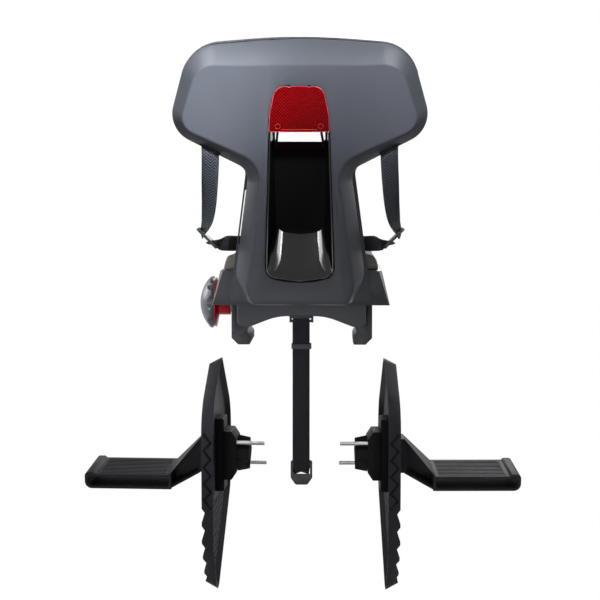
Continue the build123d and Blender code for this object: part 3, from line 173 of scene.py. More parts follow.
# Rounded edges, from broad mouldings to small metal parts
BROAD_EDGE = 0.8
PLAIN_EDGE = 0.6
FITTING_EDGE = 0.5
BUCKLE_EDGE = 0.4
THIN_EDGE = 0.3
METAL_EDGE = 0.2
EDGE_STEPS = 2
EDGE_ANGLE = 35.0

# How near the points of a CAD mesh and of a cut line are joined, and the angle of faces that count as flat
MESH_WELD = 0.01
LINE_WELD = 0.2
FLAT = radians(0.3)

# Patterns of the finishes: widths and depths, and how much darker and paler than its colour a pattern runs
DRIFT = 71.43
DRIFT_SHADE = 0.12
DRIFT_GLOSS = 0.05
GRAIN_GLOSS = 0.06
# The reflector's pyramids: their size and depth, and the dark share of its colour painted at each foot as
# shade
PYRAMID = 4.6
PYRAMID_DEPTH = 0.6
PYRAMID_DARK = 0.144
# The webbing's herringbone: rib spacing and depth, and the shares of its colour painted in its furrows as
# shade and on its ribs as highlight
WEAVE_RIB = 4.4
WEAVE_ZIGZAG = 6.2
WEAVE_DEPTH = 0.35
WEAVE_SHADES = (0.12, 2.6)
LINT = 1.111
YARN = 1.1
YARN_DEPTH = 0.25
CLOTH_SHADES = (0.55, 1.5)
HEATHER = 3.846
PANEL_GRAIN = 1.111
PANEL_DEPTH = 0.004
PANEL_EDGE = (0.4, 0.8)
DRAWN_GRAIN = 1.429
DRAWN_DULL = 0.75

# The stage
SENSOR = 36.0
FLOOR_HALF = 6.0
SKY_FILL = (0.11, 0.11, 0.12, 1.0)
WHITE = (1.0, 1.0, 1.0, 1.0)
COOL = (0.95, 0.98, 1.06)


# Small helpers

def linear(code):
    """Linear red, green and blue from an sRGB hex code."""
    values = [int(code[i:i + 2], 16) / 255 for i in (1, 3, 5)]
    return [v / 12.92 if v <= 0.04045 else ((v + 0.055) / 1.055) ** 2.4 for v in values]


def shaded(colour, factor=1.0):
    """A linear colour made darker or lighter, with alpha as a socket takes it."""
    return (*(min(1.0, value * factor) for value in colour), 1.0)


def set_inputs(tree, node, inputs):
    """Gives a node's inputs plain values, or links them to a socket or to another node's first output."""
    for name, value in inputs.items():
        if isinstance(value, bpy.types.Node):
            value = value.outputs[0]
        if isinstance(value, bpy.types.NodeSocket):
            tree.links.new(value, node.inputs[name])
        else:
            node.inputs[name].default_value = value


def add_node(tree, kind, settings=None, inputs=None):
    """A shader or geometry node with its settings and its inputs."""
    node = tree.nodes.new(kind)
    for name, value in (settings or {}).items():
        setattr(node, name, value)
    set_inputs(tree, node, inputs or {})
    return node


def leaning(x, y, z):
    """A point of the backrest, drawn upright, where it leans."""
    return (Vector((x, *BACK)) + OUT * y + UP * z) * MM


def guard_point(side, x, y, z):
    """A point of a guard: x outwards from its inner edge, y forward along it, z up."""
    outwards = GUARD_X + x * cos(TOE_IN) - y * sin(TOE_IN)
    return Vector((side * outwards, x * sin(TOE_IN) + y * cos(TOE_IN), z)) * MM


def guard_axis(side):
    """The way out of a guard's face."""
    return (side * cos(TOE_IN), sin(TOE_IN), 0.0)


def turn_to(axis):
    """Euler angles that point an instance's Z along an axis."""
    return tuple(Vector(axis).to_track_quat("Z", "Y").to_euler())


# Settings

class StageSettings(bpy.types.PropertyGroup):
    distance: bpy.props.FloatProperty(
        name="Distance", description="From the camera to its target", default=2.0, unit="LENGTH")
    target: bpy.props.FloatVectorProperty(
        name="Target", description="Point that the camera looks at", default=(-0.004, 0.0, 0.0351),
        unit="LENGTH")
    azimuth: bpy.props.FloatProperty(
        name="Azimuth", description="Camera's turn about the seat", default=radians(1.6), subtype="ANGLE")
    elevation: bpy.props.FloatProperty(
        name="Elevation", description="Camera's height angle", default=radians(5.0), subtype="ANGLE")
    lens: bpy.props.FloatProperty(
        name="Lens", description="Camera's focal length in millimetres", default=77.1, unit="CAMERA")
    floor_drop: bpy.props.FloatProperty(
        name="Floor drop", description="From the seat's lowest point down to the floor", default=0.25,
        unit="LENGTH")


class ColourSettings(bpy.types.PropertyGroup):
    shell: bpy.props.FloatVectorProperty(
        name="Shell", description="Backrest shells", default=linear("#46484D"), subtype="COLOR")
    pan: bpy.props.FloatVectorProperty(
        name="Pan", description="Seat pan and clamp housing", default=linear("#35363A"), subtype="COLOR")
    fittings: bpy.props.FloatVectorProperty(
        name="Fittings", description="Black plastic fittings", default=linear("#27282B"), subtype="COLOR")
    accent: bpy.props.FloatVectorProperty(
        name="Accent", description="Red plastic parts", default=linear("#D6202C"), subtype="COLOR")
    # The reflector's colour is the top of its painted glints, on its brightest facets
    reflector: bpy.props.FloatVectorProperty(
        name="Reflector", description="Brightest facets of the reflector", default=linear("#98060C"),
        subtype="COLOR")
    webbing: bpy.props.FloatVectorProperty(
        name="Webbing", description="Straps of the harness", default=linear("#303236"), subtype="COLOR")
    cloth: bpy.props.FloatVectorProperty(
        name="Cloth", description="Covers of both pads", default=linear("#78736D"), subtype="COLOR")


class WebbingSettings(bpy.types.PropertyGroup):
    width: bpy.props.FloatProperty(
        name="Width", description="Webbing width", default=0.025, unit="LENGTH")
    thickness: bpy.props.FloatProperty(
        name="Thickness", description="Webbing thickness", default=0.0016, unit="LENGTH")
    step: bpy.props.FloatProperty(
        name="Step", description="Length of one mesh row", default=0.002, unit="LENGTH")
    thread: bpy.props.FloatProperty(
        name="Thread", description="Radius of the sewing thread", default=0.0004, unit="LENGTH")
    pitch: bpy.props.FloatProperty(
        name="Pitch", description="From one stitch to the next", default=0.0036, unit="LENGTH")


class PadSettings(bpy.types.PropertyGroup):
    voxel: bpy.props.FloatProperty(
        name="Voxel", description="Mesh size of the cover", default=0.005, unit="LENGTH")
    slack: bpy.props.FloatProperty(
        name="Slack", description="Starts this far inside the foam's outline", default=0.003,
        unit="LENGTH")
    cap: bpy.props.FloatProperty(
        name="Cap", description="Furthest that a point may swell", default=0.005, unit="LENGTH")
    pressure: bpy.props.FloatProperty(
        name="Pressure", description="Pressure of the foam in the cover", default=4.0)
    piping: bpy.props.FloatProperty(
        name="Piping", description="Radius of the piping round the edge", default=0.0017, unit="LENGTH")


class GuardSettings(bpy.types.PropertyGroup):
    cell: bpy.props.FloatProperty(
        name="Cell", description="Radius of one honeycomb cell", default=0.0062, unit="LENGTH")
    rib: bpy.props.FloatProperty(
        name="Rib", description="Width and height of the honeycomb's ribs", default=0.0014, unit="LENGTH")
    zigzag: bpy.props.FloatProperty(
        name="Zigzag", description="Radius of the ridge on the rim", default=0.0027, unit="LENGTH")


# Materials. A mix node has its two colours at inputs 6 and 7, and the mixed colour at output 2.

def new_material(name):
    """A material with its node tree and its main shader."""
    material = bpy.data.materials.new(name)
    material.use_nodes = True
    return material, material.node_tree, material.node_tree.nodes["Principled BSDF"]


def moulded_plastic(name, colour, roughness, grain, relief, specular):
    """Injection moulded plastic: the mould's spark-eroded grain, and a slow drift of shade and gloss."""
    material, tree, shader = new_material(name)
    place = add_node(tree, "ShaderNodeTexCoord").outputs["Object"]
    fine = add_node(tree, "ShaderNodeTexNoise", inputs={
        "Vector": place, "Scale": 1 / (grain * MM), "Detail": 2.0, "Roughness": 0.6})
    slow = add_node(tree, "ShaderNodeTexNoise", inputs={
        "Vector": place, "Scale": 1 / (DRIFT * MM), "Detail": 3.0})
    tint = add_node(tree, "ShaderNodeMix", {"data_type": "RGBA"}, {
        0: slow, 6: shaded(colour, 1 - DRIFT_SHADE), 7: shaded(colour, 1 + DRIFT_SHADE)})
    drift = add_node(tree, "ShaderNodeMapRange", inputs={
        "Value": slow, "To Min": -DRIFT_GLOSS, "To Max": DRIFT_GLOSS})
    gloss = add_node(tree, "ShaderNodeMapRange", inputs={
        "Value": fine, "To Min": roughness - GRAIN_GLOSS, "To Max": roughness + GRAIN_GLOSS})
    set_inputs(tree, shader, {
        "Base Color": tint.outputs[2],
        "Roughness": add_node(tree, "ShaderNodeMath", {"operation": "ADD"}, {0: drift, 1: gloss}),
        "Normal": add_node(tree, "ShaderNodeBump", inputs={"Distance": relief * MM, "Height": fine}),
        "Specular IOR Level": specular, "IOR": 1.5})
    return material


def prismatic_acrylic(name, colour):
    """Clear red acrylic over rows of small pyramids, with painted glints: each pyramid painted paler at
    its peak and darker at its foot, and each a little brighter or darker than the next.
    """
    material, tree, shader = new_material(name)
    place = add_node(tree, "ShaderNodeTexCoord").outputs["Object"]
    # Real pyramids are about 2 mm wide, and these are wider so that they show in the render
    rows = [Vector(row) / (PYRAMID * MM) for row in ((1, 0, 1), (1, 0, -1))]
    slants = [add_node(tree, "ShaderNodeVectorMath", {"operation": "DOT_PRODUCT"}, {
        0: place, 1: row}).outputs["Value"] for row in rows]
    cell = add_node(tree, "ShaderNodeCombineXYZ", inputs={
        axis: add_node(tree, "ShaderNodeMath", {"operation": "FLOOR"}, {0: slant})
        for axis, slant in zip("XY", slants)})
    spark = add_node(tree, "ShaderNodeTexWhiteNoise", inputs={"Vector": cell})
    slopes = [add_node(tree, "ShaderNodeMath", {"operation": "PINGPONG"}, {0: slant, 1: 0.5})
              for slant in slants]
    peak = add_node(tree, "ShaderNodeMath", {"operation": "MINIMUM"}, {0: slopes[0], 1: slopes[1]})
    # A peak is half as high as a row is wide, so a twinkle of 2 is full brightness
    twinkle = add_node(tree, "ShaderNodeMapRange", inputs={"Value": spark, "To Min": 1.3, "To Max": 2.0})
    glow = add_node(tree, "ShaderNodeMath", {"operation": "MULTIPLY"}, {0: twinkle, 1: peak})
    # The pyramids' colour is painted glints: paler at each peak, darker at each foot, and brighter on some
    # pyramids than others
    tint = add_node(tree, "ShaderNodeMix", {"data_type": "RGBA"}, {
        0: glow, 6: shaded(colour, PYRAMID_DARK), 7: shaded(colour)})
    relief = add_node(tree, "ShaderNodeBump", inputs={
        "Strength": 0.6, "Distance": PYRAMID_DEPTH * MM, "Height": peak})
    set_inputs(tree, shader, {
        "Base Color": tint.outputs[2], "Normal": relief, "Roughness": 0.22, "Specular IOR Level": 0.04,
        "IOR": 1.49})
    return material


def woven_webbing(name, colour):
    """Woven polyester webbing: herringbone ribs across its width, with painted shade in their furrows and
    a painted highlight on their crests, and a little lint.
    """
    material, tree, shader = new_material(name)
    uv = add_node(tree, "ShaderNodeUVMap", {"uv_map": "weave"}).outputs["UV"]
    axes = add_node(tree, "ShaderNodeSeparateXYZ", inputs={"Vector": uv}).outputs
    # Real ribs are about 1.5 mm apart, and these are coarser so that they show in the render
    zigzag = add_node(tree, "ShaderNodeMath", {"operation": "PINGPONG"}, {
        0: axes["X"], 1: WEAVE_ZIGZAG * MM})
    run = add_node(tree, "ShaderNodeMath", {"operation": "ADD"}, {0: zigzag, 1: axes["Y"]})
    turn = add_node(tree, "ShaderNodeMath", {"operation": "MULTIPLY"}, {
        0: run, 1: 2 * pi / (WEAVE_RIB * MM)})
    wave = add_node(tree, "ShaderNodeMath", {"operation": "SINE"}, {0: turn})
    lint = add_node(tree, "ShaderNodeTexNoise", inputs={
        "Vector": uv, "Scale": 1 / (LINT * MM), "Detail": 3.0})
    # Three parts of ribs to one of lint, from 0 to 1
    fuzz = add_node(tree, "ShaderNodeMath", {"operation": "MULTIPLY_ADD"}, {0: lint, 1: 0.25, 2: 0.375})
    tone = add_node(tree, "ShaderNodeMath", {"operation": "MULTIPLY_ADD"}, {0: wave, 1: 0.375, 2: fuzz})
    # Painted shade in the furrows and a painted highlight on the ribs
    dark, pale = (shaded(colour, factor) for factor in WEAVE_SHADES)
    tint = add_node(tree, "ShaderNodeMix", {"data_type": "RGBA"}, {0: tone, 6: dark, 7: pale})
    relief = add_node(tree, "ShaderNodeBump", inputs={"Distance": WEAVE_DEPTH * MM, "Height": tone})
    set_inputs(tree, shader, {
        "Base Color": tint.outputs[2], "Normal": relief, "Roughness": 0.72, "Specular IOR Level": 0.06,
        "Sheen Weight": 0.03, "Sheen Roughness": 0.4})
    return material


def cover_cloth(name, colour, first, second):
    """Woven polyester over foam: yarns that cross along two axes, in a heather of pale and dark ones."""
    material, tree, shader = new_material(name)
    place = add_node(tree, "ShaderNodeTexCoord").outputs["Object"]
    axes = add_node(tree, "ShaderNodeSeparateXYZ", inputs={"Vector": place}).outputs
    # Real yarns are about 0.5 mm apart, and these are coarser so that they show in the render
    turns = [add_node(tree, "ShaderNodeMath", {"operation": "MULTIPLY"}, {
        0: axes[axis], 1: 2 * pi / (YARN * MM)}) for axis in (first, second)]
    warp, weft = (add_node(tree, "ShaderNodeMath", {"operation": "SINE"}, {0: turn}) for turn in turns)
    crossing = add_node(tree, "ShaderNodeMath", {"operation": "MULTIPLY"}, {0: warp, 1: weft})
    weave = add_node(tree, "ShaderNodeMath", {"operation": "MULTIPLY_ADD"}, {0: crossing, 1: 0.5, 2: 0.5})
    heather = add_node(tree, "ShaderNodeTexNoise", inputs={
        "Vector": place, "Scale": 1 / (HEATHER * MM), "Detail": 4.0})
    plain = add_node(tree, "ShaderNodeMath", {"operation": "MULTIPLY"}, {0: weave, 1: 0.45})
    tone = add_node(tree, "ShaderNodeMath", {"operation": "MULTIPLY_ADD"}, {0: heather, 1: 0.55, 2: plain})
    dark, pale = (shaded(colour, factor) for factor in CLOTH_SHADES)
    tint = add_node(tree, "ShaderNodeMix", {"data_type": "RGBA"}, {0: tone, 6: dark, 7: pale})
    relief = add_node(tree, "ShaderNodeBump", inputs={
        "Strength": 0.8, "Distance": YARN_DEPTH * MM, "Height": weave})
    set_inputs(tree, shader, {
        "Base Color": tint.outputs[2], "Normal": relief, "Roughness": 0.85, "Specular IOR Level": 0.15,
        "Sheen Weight": 0.2, "Sheen Roughness": 0.5})
    return material


def plated_steel(name, colour):
    """Zinc plated steel with a faint drawn grain."""
    material, tree, shader = new_material(name)
    place = add_node(tree, "ShaderNodeTexCoord").outputs["Object"]
    grain = add_node(tree, "ShaderNodeTexNoise", inputs={
        "Vector": place, "Scale": 1 / (DRAWN_GRAIN * MM), "Detail": 4.0})
    tint = add_node(tree, "ShaderNodeMix", {"data_type": "RGBA"}, {
        0: grain, 6: shaded(colour, DRAWN_DULL), 7: shaded(colour)})
    gloss = add_node(tree, "ShaderNodeMapRange", inputs={"Value": grain, "To Min": 0.22, "To Max": 0.42})
    set_inputs(tree, shader, {"Base Color": tint.outputs[2], "Roughness": gloss, "Metallic": 1.0})
    return material


def duct_plastic(name, colour):
    """Black duct: a polished scoop, a matt grained panel at its end, and a red reflection of the reflector
    painted on the panel under it, above its lip.
    """
    material, tree, shader = new_material(name)
    place = add_node(tree, "ShaderNodeTexCoord").outputs["Object"]
    depth, rise = (add_node(tree, "ShaderNodeVectorMath", {"operation": "DOT_PRODUCT"}, {
        0: place, 1: way}).outputs["Value"] for way in (OUT, UP))
    near, far = (leaning(0, DUCT_PANEL - edge, 0).dot(OUT) for edge in PANEL_EDGE)
    scoop = add_node(tree, "ShaderNodeMapRange", inputs={
        "Value": depth, "From Min": near, "From Max": far})
    above = add_node(tree, "ShaderNodeMath", {"operation": "GREATER_THAN"}, {
        0: rise, 1: leaning(0, 0, DUCT_LIP).dot(UP)})
    grain = add_node(tree, "ShaderNodeTexNoise", inputs={
        "Vector": place, "Scale": 1 / (PANEL_GRAIN * MM), "Detail": 2.0})
    # Above the lip the panel is painted dark red: a painted reflection of the red reflector
    matt = add_node(tree, "ShaderNodeMix", {"data_type": "RGBA"}, {
        0: above, 6: shaded(linear("#0A0909")), 7: shaded(linear("#240A0E"))})
    tint = add_node(tree, "ShaderNodeMix", {"data_type": "RGBA"}, {
        0: scoop, 6: matt.outputs[2], 7: shaded(colour)})
    dull = add_node(tree, "ShaderNodeMapRange", inputs={"Value": grain, "To Min": 0.5, "To Max": 0.7})
    gloss = add_node(tree, "ShaderNodeMix", {"data_type": "FLOAT"}, {0: scoop, 2: dull, 3: 0.13})
    shine = add_node(tree, "ShaderNodeMapRange", inputs={"Value": scoop, "To Min": 0.025, "To Max": 0.34})
    relief = add_node(tree, "ShaderNodeBump", inputs={"Distance": PANEL_DEPTH * MM, "Height": grain})
    set_inputs(tree, shader, {
        "Base Color": tint.outputs[2], "Roughness": gloss, "Specular IOR Level": shine, "Normal": relief})
    return material


# Each finish: the function that makes it, its name, and its colour as a colour setting or a hex code. A
# moulded plastic then has its roughness, the width and depth of its grain, and its specular level.
FINISHES = {
    # Satin mould texture: a soft broad sheen on the bevels and an even grey on the flats
    "shell_grey": (moulded_plastic, "moulded_grey_polypropylene", "shell", 0.34, 0.7, 0.02, 0.14),
    "pan_grey": (moulded_plastic, "moulded_charcoal_polypropylene", "pan", 0.36, 0.7, 0.03, 0.2),
    "knob_grey": (moulded_plastic, "moulded_grey_nylon", "#4A4D53", 0.32, 0.7, 0.01, 0.35),
    # Harder nylon fittings: darker, with small sharper highlights on their edges
    "black_plastic": (moulded_plastic, "moulded_black_nylon", "fittings", 0.42, 0.6, 0.03, 0.25),
    # Coarse spark-eroded black: almost no sheen
    "matt_black": (moulded_plastic, "eroded_black_polypropylene", "#121214", 0.55, 0.6, 0.03, 0.05),
    # Mirror-polished scoop: streaks of the lamps on deep black
    "gloss_black": (duct_plastic, "polished_black_abs", "#08080A"),
    # Clear red acrylic: a painted glitter of facets inside a smooth edge painted paler as a highlight
    "reflector_red": (prismatic_acrylic, "prismatic_red_acrylic", "reflector"),
    # A pale pink bead round the lens: a painted highlight along its edge
    "lens_rim": (moulded_plastic, "clear_red_acrylic_rim", "#C04A54", 0.2, 2.0, 0.002, 0.3),
    "lens_mark": (moulded_plastic, "clear_red_acrylic_mark", "#8E1219", 0.3, 2.0, 0.002, 0.1),
    "lens_bar": (moulded_plastic, "clear_red_acrylic_bar", "#C81420", 0.3, 2.0, 0.002, 0.1),
    # Full red right through, a little glossier than the shells
    "red_plastic": (moulded_plastic, "moulded_red_polypropylene", "accent", 0.30, 0.6, 0.02, 0.2),
    # Rough guards: flat dark grey, with ribs painted paler as a painted highlight that makes the honeycomb
    # read
    "guard_grey": (moulded_plastic, "moulded_guard_polypropylene", "#2E2E32", 0.55, 0.7, 0.04, 0.06),
    "rib_grey": (moulded_plastic, "moulded_rib_polypropylene", "#4E4E53", 0.5, 0.7, 0.03, 0.06),
    # Rubber: dull black
    "rubber_block": (moulded_plastic, "moulded_black_rubber", "#151517", 0.62, 0.5, 0.05, 0.05),
    # Polyester yarn: herringbone with painted shade in its furrows and a painted highlight on its ribs
    "webbing": (woven_webbing, "woven_grey_polyester", "webbing"),
    # The safety strap's webbing: a darker copy of the webbing, painted shade for the strap under the seat
    "dark_webbing": (woven_webbing, "woven_black_polyester", "#1E1E21"),
    # Heathered cloth: a warm grey speckle with a soft bloom at its edges
    "back_cloth": (cover_cloth, "woven_back_polyester", "cloth", "X", "Z"),
    "seat_cloth": (cover_cloth, "woven_seat_polyester", "cloth", "X", "Y"),
    # Tape and thread: dull, and darker than the cloth. They come from no mould, but the same fine
    # unevenness serves for their yarn.
    "binding": (moulded_plastic, "woven_binding_tape", "#2B2A2A", 0.8, 0.9, 0.2, 0.1),
    "thread": (moulded_plastic, "twisted_polyester_thread", "#6A6866", 0.75, 0.3, 0.05, 0.1),
    # Bright zinc: grey metal with slightly blurred reflections
    "zinc_steel": (plated_steel, "zinc_plated_steel", "#8E8E8F"),
}
MADE = {}


def finish(key):
    """A finish's material, made when a piece first needs it."""
    if key not in MADE:
        maker, name, colour, *values = FINISHES[key]
        settings = bpy.context.scene.seat_colours
        chosen = linear(colour) if colour.startswith("#") else getattr(settings, colour)
        MADE[key] = maker(name, chosen, *values)
    return MADE[key]


# Geometry trees

def new_tree(name, sizes):
    """A geometry tree with a mesh, named sizes and a material to start from."""
    tree = bpy.data.node_groups.new(name, "GeometryNodeTree")
    tree.interface.new_socket("Mesh", in_out="INPUT", socket_type="NodeSocketGeometry")
    for label, value in sizes.items():
        kind = {float: "NodeSocketFloat", tuple: "NodeSocketVector"}[type(value)]
        tree.interface.new_socket(label, in_out="INPUT", socket_type=kind).default_value = value
    tree.interface.new_socket("Material", in_out="INPUT", socket_type="NodeSocketMaterial")
    tree.interface.new_socket("Mesh", in_out="OUTPUT", socket_type="NodeSocketGeometry")
    return tree, tree.nodes.new("NodeGroupInput").outputs


def end_tree(tree, start, geometry):
    """Ends a tree in plain smooth geometry with its material."""
    whole = add_node(tree, "GeometryNodeRealizeInstances", inputs={"Geometry": geometry})
    smooth = add_node(tree, "GeometryNodeSetShadeSmooth", inputs={"Geometry": whole, "Shade Smooth": True})
    painted = add_node(tree, "GeometryNodeSetMaterial", inputs={
        "Geometry": smooth, "Material": start["Material"]})
    add_node(tree, "NodeGroupOutput", inputs={0: painted})
    return tree


def swept(tree, curve, radius, sides):
    """A closed tube along a curve."""
    ring = add_node(tree, "GeometryNodeCurvePrimitiveCircle", inputs={
        "Resolution": sides, "Radius": radius})
    return add_node(tree, "GeometryNodeCurveToMesh", inputs={
        "Curve": curve, "Profile Curve": ring, "Fill Caps": True})


def spread(tree, start, instance):
    """One instance on every point of the mesh, all turned alike."""
    turn = add_node(tree, "FunctionNodeEulerToRotation", inputs={"Euler": start["Turn"]})
    spots = add_node(tree, "GeometryNodeInstanceOnPoints", inputs={
        "Points": start["Mesh"], "Instance": instance, "Rotation": turn})
    return end_tree(tree, start, spots)


def bead_tree():
    """A round bead along every edge line of the mesh."""
    tree, start = new_tree("bead", {"Radius": 0.001})
    path = add_node(tree, "GeometryNodeMeshToCurve", inputs={"Mesh": start["Mesh"]})
    return end_tree(tree, start, swept(tree, path, start["Radius"], 8))


def stitch_tree():
    """Straight stitches, one after the other along every edge line of the mesh."""
    tree, start = new_tree("stitches", {"Pitch": 0.0036, "Length": 0.0026, "Thread": 0.0004})
    path = add_node(tree, "GeometryNodeMeshToCurve", inputs={"Mesh": start["Mesh"]})
    spots = add_node(tree, "GeometryNodeResampleCurve", {"mode": "LENGTH"}, {
        "Curve": path, "Length": start["Pitch"]})
    tangent = add_node(tree, "GeometryNodeInputTangent")
    turn = add_node(tree, "FunctionNodeAlignRotationToVector", {"axis": "Z"}, {"Vector": tangent})
    tip = add_node(tree, "ShaderNodeCombineXYZ", inputs={"Z": start["Length"]})
    line = add_node(tree, "GeometryNodeCurvePrimitiveLine", inputs={"End": tip})
    rows = add_node(tree, "GeometryNodeInstanceOnPoints", inputs={
        "Points": spots, "Instance": swept(tree, line, start["Thread"], 6), "Rotation": turn})
    return end_tree(tree, start, rows)


def honeycomb_tree():
    """A six-sided ring of square ribs on every point."""
    tree, start = new_tree("honeycomb", {"Cell": 0.006, "Rib": 0.001, "Turn": (0.0, 0.0, 0.0)})
    ring = add_node(tree, "GeometryNodeCurvePrimitiveCircle", inputs={
        "Resolution": 6, "Radius": start["Cell"]})
    bar = add_node(tree, "GeometryNodeCurvePrimitiveQuadrilateral", inputs={
        "Width": start["Rib"], "Height": start["Rib"]})
    cell = add_node(tree, "GeometryNodeCurveToMesh", inputs={"Curve": ring, "Profile Curve": bar})
    return spread(tree, start, cell)


def knurl_tree():
    """A four-sided tooth on every point."""
    tree, start = new_tree("knurl", {"Size": 0.002, "Height": 0.0007, "Turn": (0.0, 0.0, 0.0)})
    tooth = add_node(tree, "GeometryNodeMeshCone", inputs={
        "Vertices": 4, "Radius Top": 0.0, "Radius Bottom": start["Size"], "Depth": start["Height"]})
    return spread(tree, start, tooth)


def thread_tree():
    """A screw's helical ridge on every point."""
    tree, start = new_tree("thread", {
        "Radius": 0.003, "Height": 0.02, "Turns": 20.0, "Ridge": 0.0003, "Turn": (0.0, 0.0, 0.0)})
    helix = add_node(tree, "GeometryNodeCurveSpiral", inputs={
        "Resolution": 20, "Rotations": start["Turns"], "Start Radius": start["Radius"],
        "End Radius": start["Radius"], "Height": start["Height"]})
    return spread(tree, start, swept(tree, helix, start["Ridge"], 4))


TREES = {tree.name: tree for tree in (
    bead_tree(), stitch_tree(), honeycomb_tree(), knurl_tree(), thread_tree())}


# Meshes and pieces

def new_piece(name, mesh):
    """An object for a mesh, in the scene."""
    piece = bpy.data.objects.new(name, mesh)
    bpy.context.scene.collection.objects.link(piece)
    return piece


def plain_mesh(name, shape):
    """A mesh from an edited shape, which is then let go."""
    mesh = bpy.data.meshes.new(name)
    shape.to_mesh(mesh)
    shape.free()
    return mesh


def bake(piece):
    """Turns a piece's modifiers into plain mesh."""
    graph = bpy.context.evaluated_depsgraph_get()
    mesh = bpy.data.meshes.new_from_object(piece.evaluated_get(graph))
    piece.modifiers.clear()
    piece.data = mesh
    return piece


def shade(mesh, sharp):
    """Smooth shading with sharp edges past an angle in degrees."""
    mesh.polygons.foreach_set("use_smooth", [True] * len(mesh.polygons))
    mesh.set_sharp_from_angle(angle=radians(sharp))


def settle(piece, body, key, nodes=()):
    """Gives a finished piece its finish, its body and the CAD nodes that it stands for."""
    piece.data.materials.clear()
    piece.data.materials.append(finish(key))
    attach(piece, body)
    if nodes:
        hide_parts(*nodes)
    return piece


def grow(piece, tree, values, body, key):
    """Runs a geometry tree on a piece, keeps the result as plain mesh and settles it."""
    modifier = piece.modifiers.new(tree, "NODES")
    modifier.node_group = TREES[tree]
    given = {**values, "Material": finish(key)}
    for item in TREES[tree].interface.items_tree:
        if item.in_out == "INPUT" and item.name in given:
            modifier[item.identifier] = given[item.name]
    return settle(bake(piece), body, key)


def line_piece(name, lines, closed=False):
    """Edge lines through points in metres, for a tree that follows them."""
    points = [tuple(point) for line in lines for point in line]
    edges = []
    first = 0
    for line in lines:
        edges += [(first + i, first + i + 1) for i in range(len(line) - 1)]
        if closed:
            edges.append((first + len(line) - 1, first))
        first += len(line)
    mesh = bpy.data.meshes.new(name)
    mesh.from_pydata(points, edges, [])
    return new_piece(name, mesh)


def spot_piece(name, spots):
    """Single points in metres, for a tree that puts something on each."""
    return line_piece(name, [[spot] for spot in spots])


def section_piece(name, piece, point, normal):
    """The lines where a plane cuts a piece."""
    shape = bmesh.new()
    shape.from_mesh(piece.data)
    bmesh.ops.bisect_plane(shape, geom=shape.verts[:] + shape.edges[:] + shape.faces[:], plane_co=point,
                           plane_no=normal, clear_inner=True, clear_outer=True)
    bmesh.ops.remove_doubles(shape, verts=shape.verts, dist=LINE_WELD * MM)
    return new_piece(name, plain_mesh(name, shape))


def lofted(name, rings):
    """A closed skin through rings of equal counts."""
    shape = bmesh.new()
    rows = [[shape.verts.new(point) for point in ring] for ring in rings]
    for row, after in zip(rows, rows[1:]):
        for k in range(len(row)):
            n = (k + 1) % len(row)
            shape.faces.new((row[k], after[k], after[n], row[n]))
    for row in (rows[0], rows[-1]):
        shape.faces.new(row)
    bmesh.ops.recalc_face_normals(shape, faces=shape.faces)
    mesh = plain_mesh(name, shape)
    shade(mesh, sharp=40.0)
    return new_piece(name, mesh)


def merged_copy(node, name):
    """A copy of a CAD node with its loose triangles joined and its flat faces whole."""
    shape = bmesh.new()
    shape.from_mesh(frame["nodes"][node].data)
    bmesh.ops.remove_doubles(shape, verts=shape.verts, dist=MESH_WELD * MM)
    bmesh.ops.dissolve_limit(shape, angle_limit=FLAT, verts=shape.verts, edges=shape.edges)
    mesh = plain_mesh(name, shape)
    if "custom_normal" in mesh.attributes:
        mesh.attributes.remove(mesh.attributes["custom_normal"])
    return mesh


def body_of_node(node):
    """The moving body that carries a CAD node."""
    return next(body for body, nodes in frame["record"]["behaviour"]["bodies"].items() if node in nodes)


def slot_of_node(node):
    """The material slot of a CAD node."""
    return next(part["material_slot"] for part in frame["record"]["subparts"] if part["node"] == node)


def dress(node, edge, key=None):
    """A CAD node with small rounded edges, as a moulding has, in its slot's finish or another."""
    piece = new_piece(node + "_moulding", merged_copy(node, node + "_moulding"))
    bevel = piece.modifiers.new("Edges", "BEVEL")
    bevel.width = edge * MM
    bevel.segments = EDGE_STEPS
    bevel.limit_method = "ANGLE"
    bevel.angle_limit = radians(EDGE_ANGLE)
    bake(piece)
    shade(piece.data, sharp=EDGE_ANGLE)
    slot = slot_of_node(node)
    return settle(piece, body_of_node(node), key or slot, [node])


# Webbing

def smooth_path(points, step):
    """Points a step apart along a smooth curve through given points."""
    ends = [2 * points[0] - points[1], *points, 2 * points[-1] - points[-2]]
    path = []
    for i in range(1, len(ends) - 2):
        before, start, end, after = ends[i - 1:i + 3]
        count = max(2, round((end - start).length / step))
        for k in range(count):
            t = k / count
            path.append(0.5 * (2 * start + (end - before) * t
                               + (2 * before - 5 * start + 4 * end - after) * t ** 2
                               + (3 * start - before - 3 * end + after) * t ** 3))
    path.append(points[-1])
    return path


def webbing_profile(half, thick):
    """Outline across webbing: flat faces with points for the bends, and edges that come to a line."""
    face = [-half + thick, -half / 2, 0.0, half / 2, half - thick]
    return [(-half, 0.0), *((x, thick) for x in face), (half, 0.0), *((x, -thick) for x in reversed(face))]


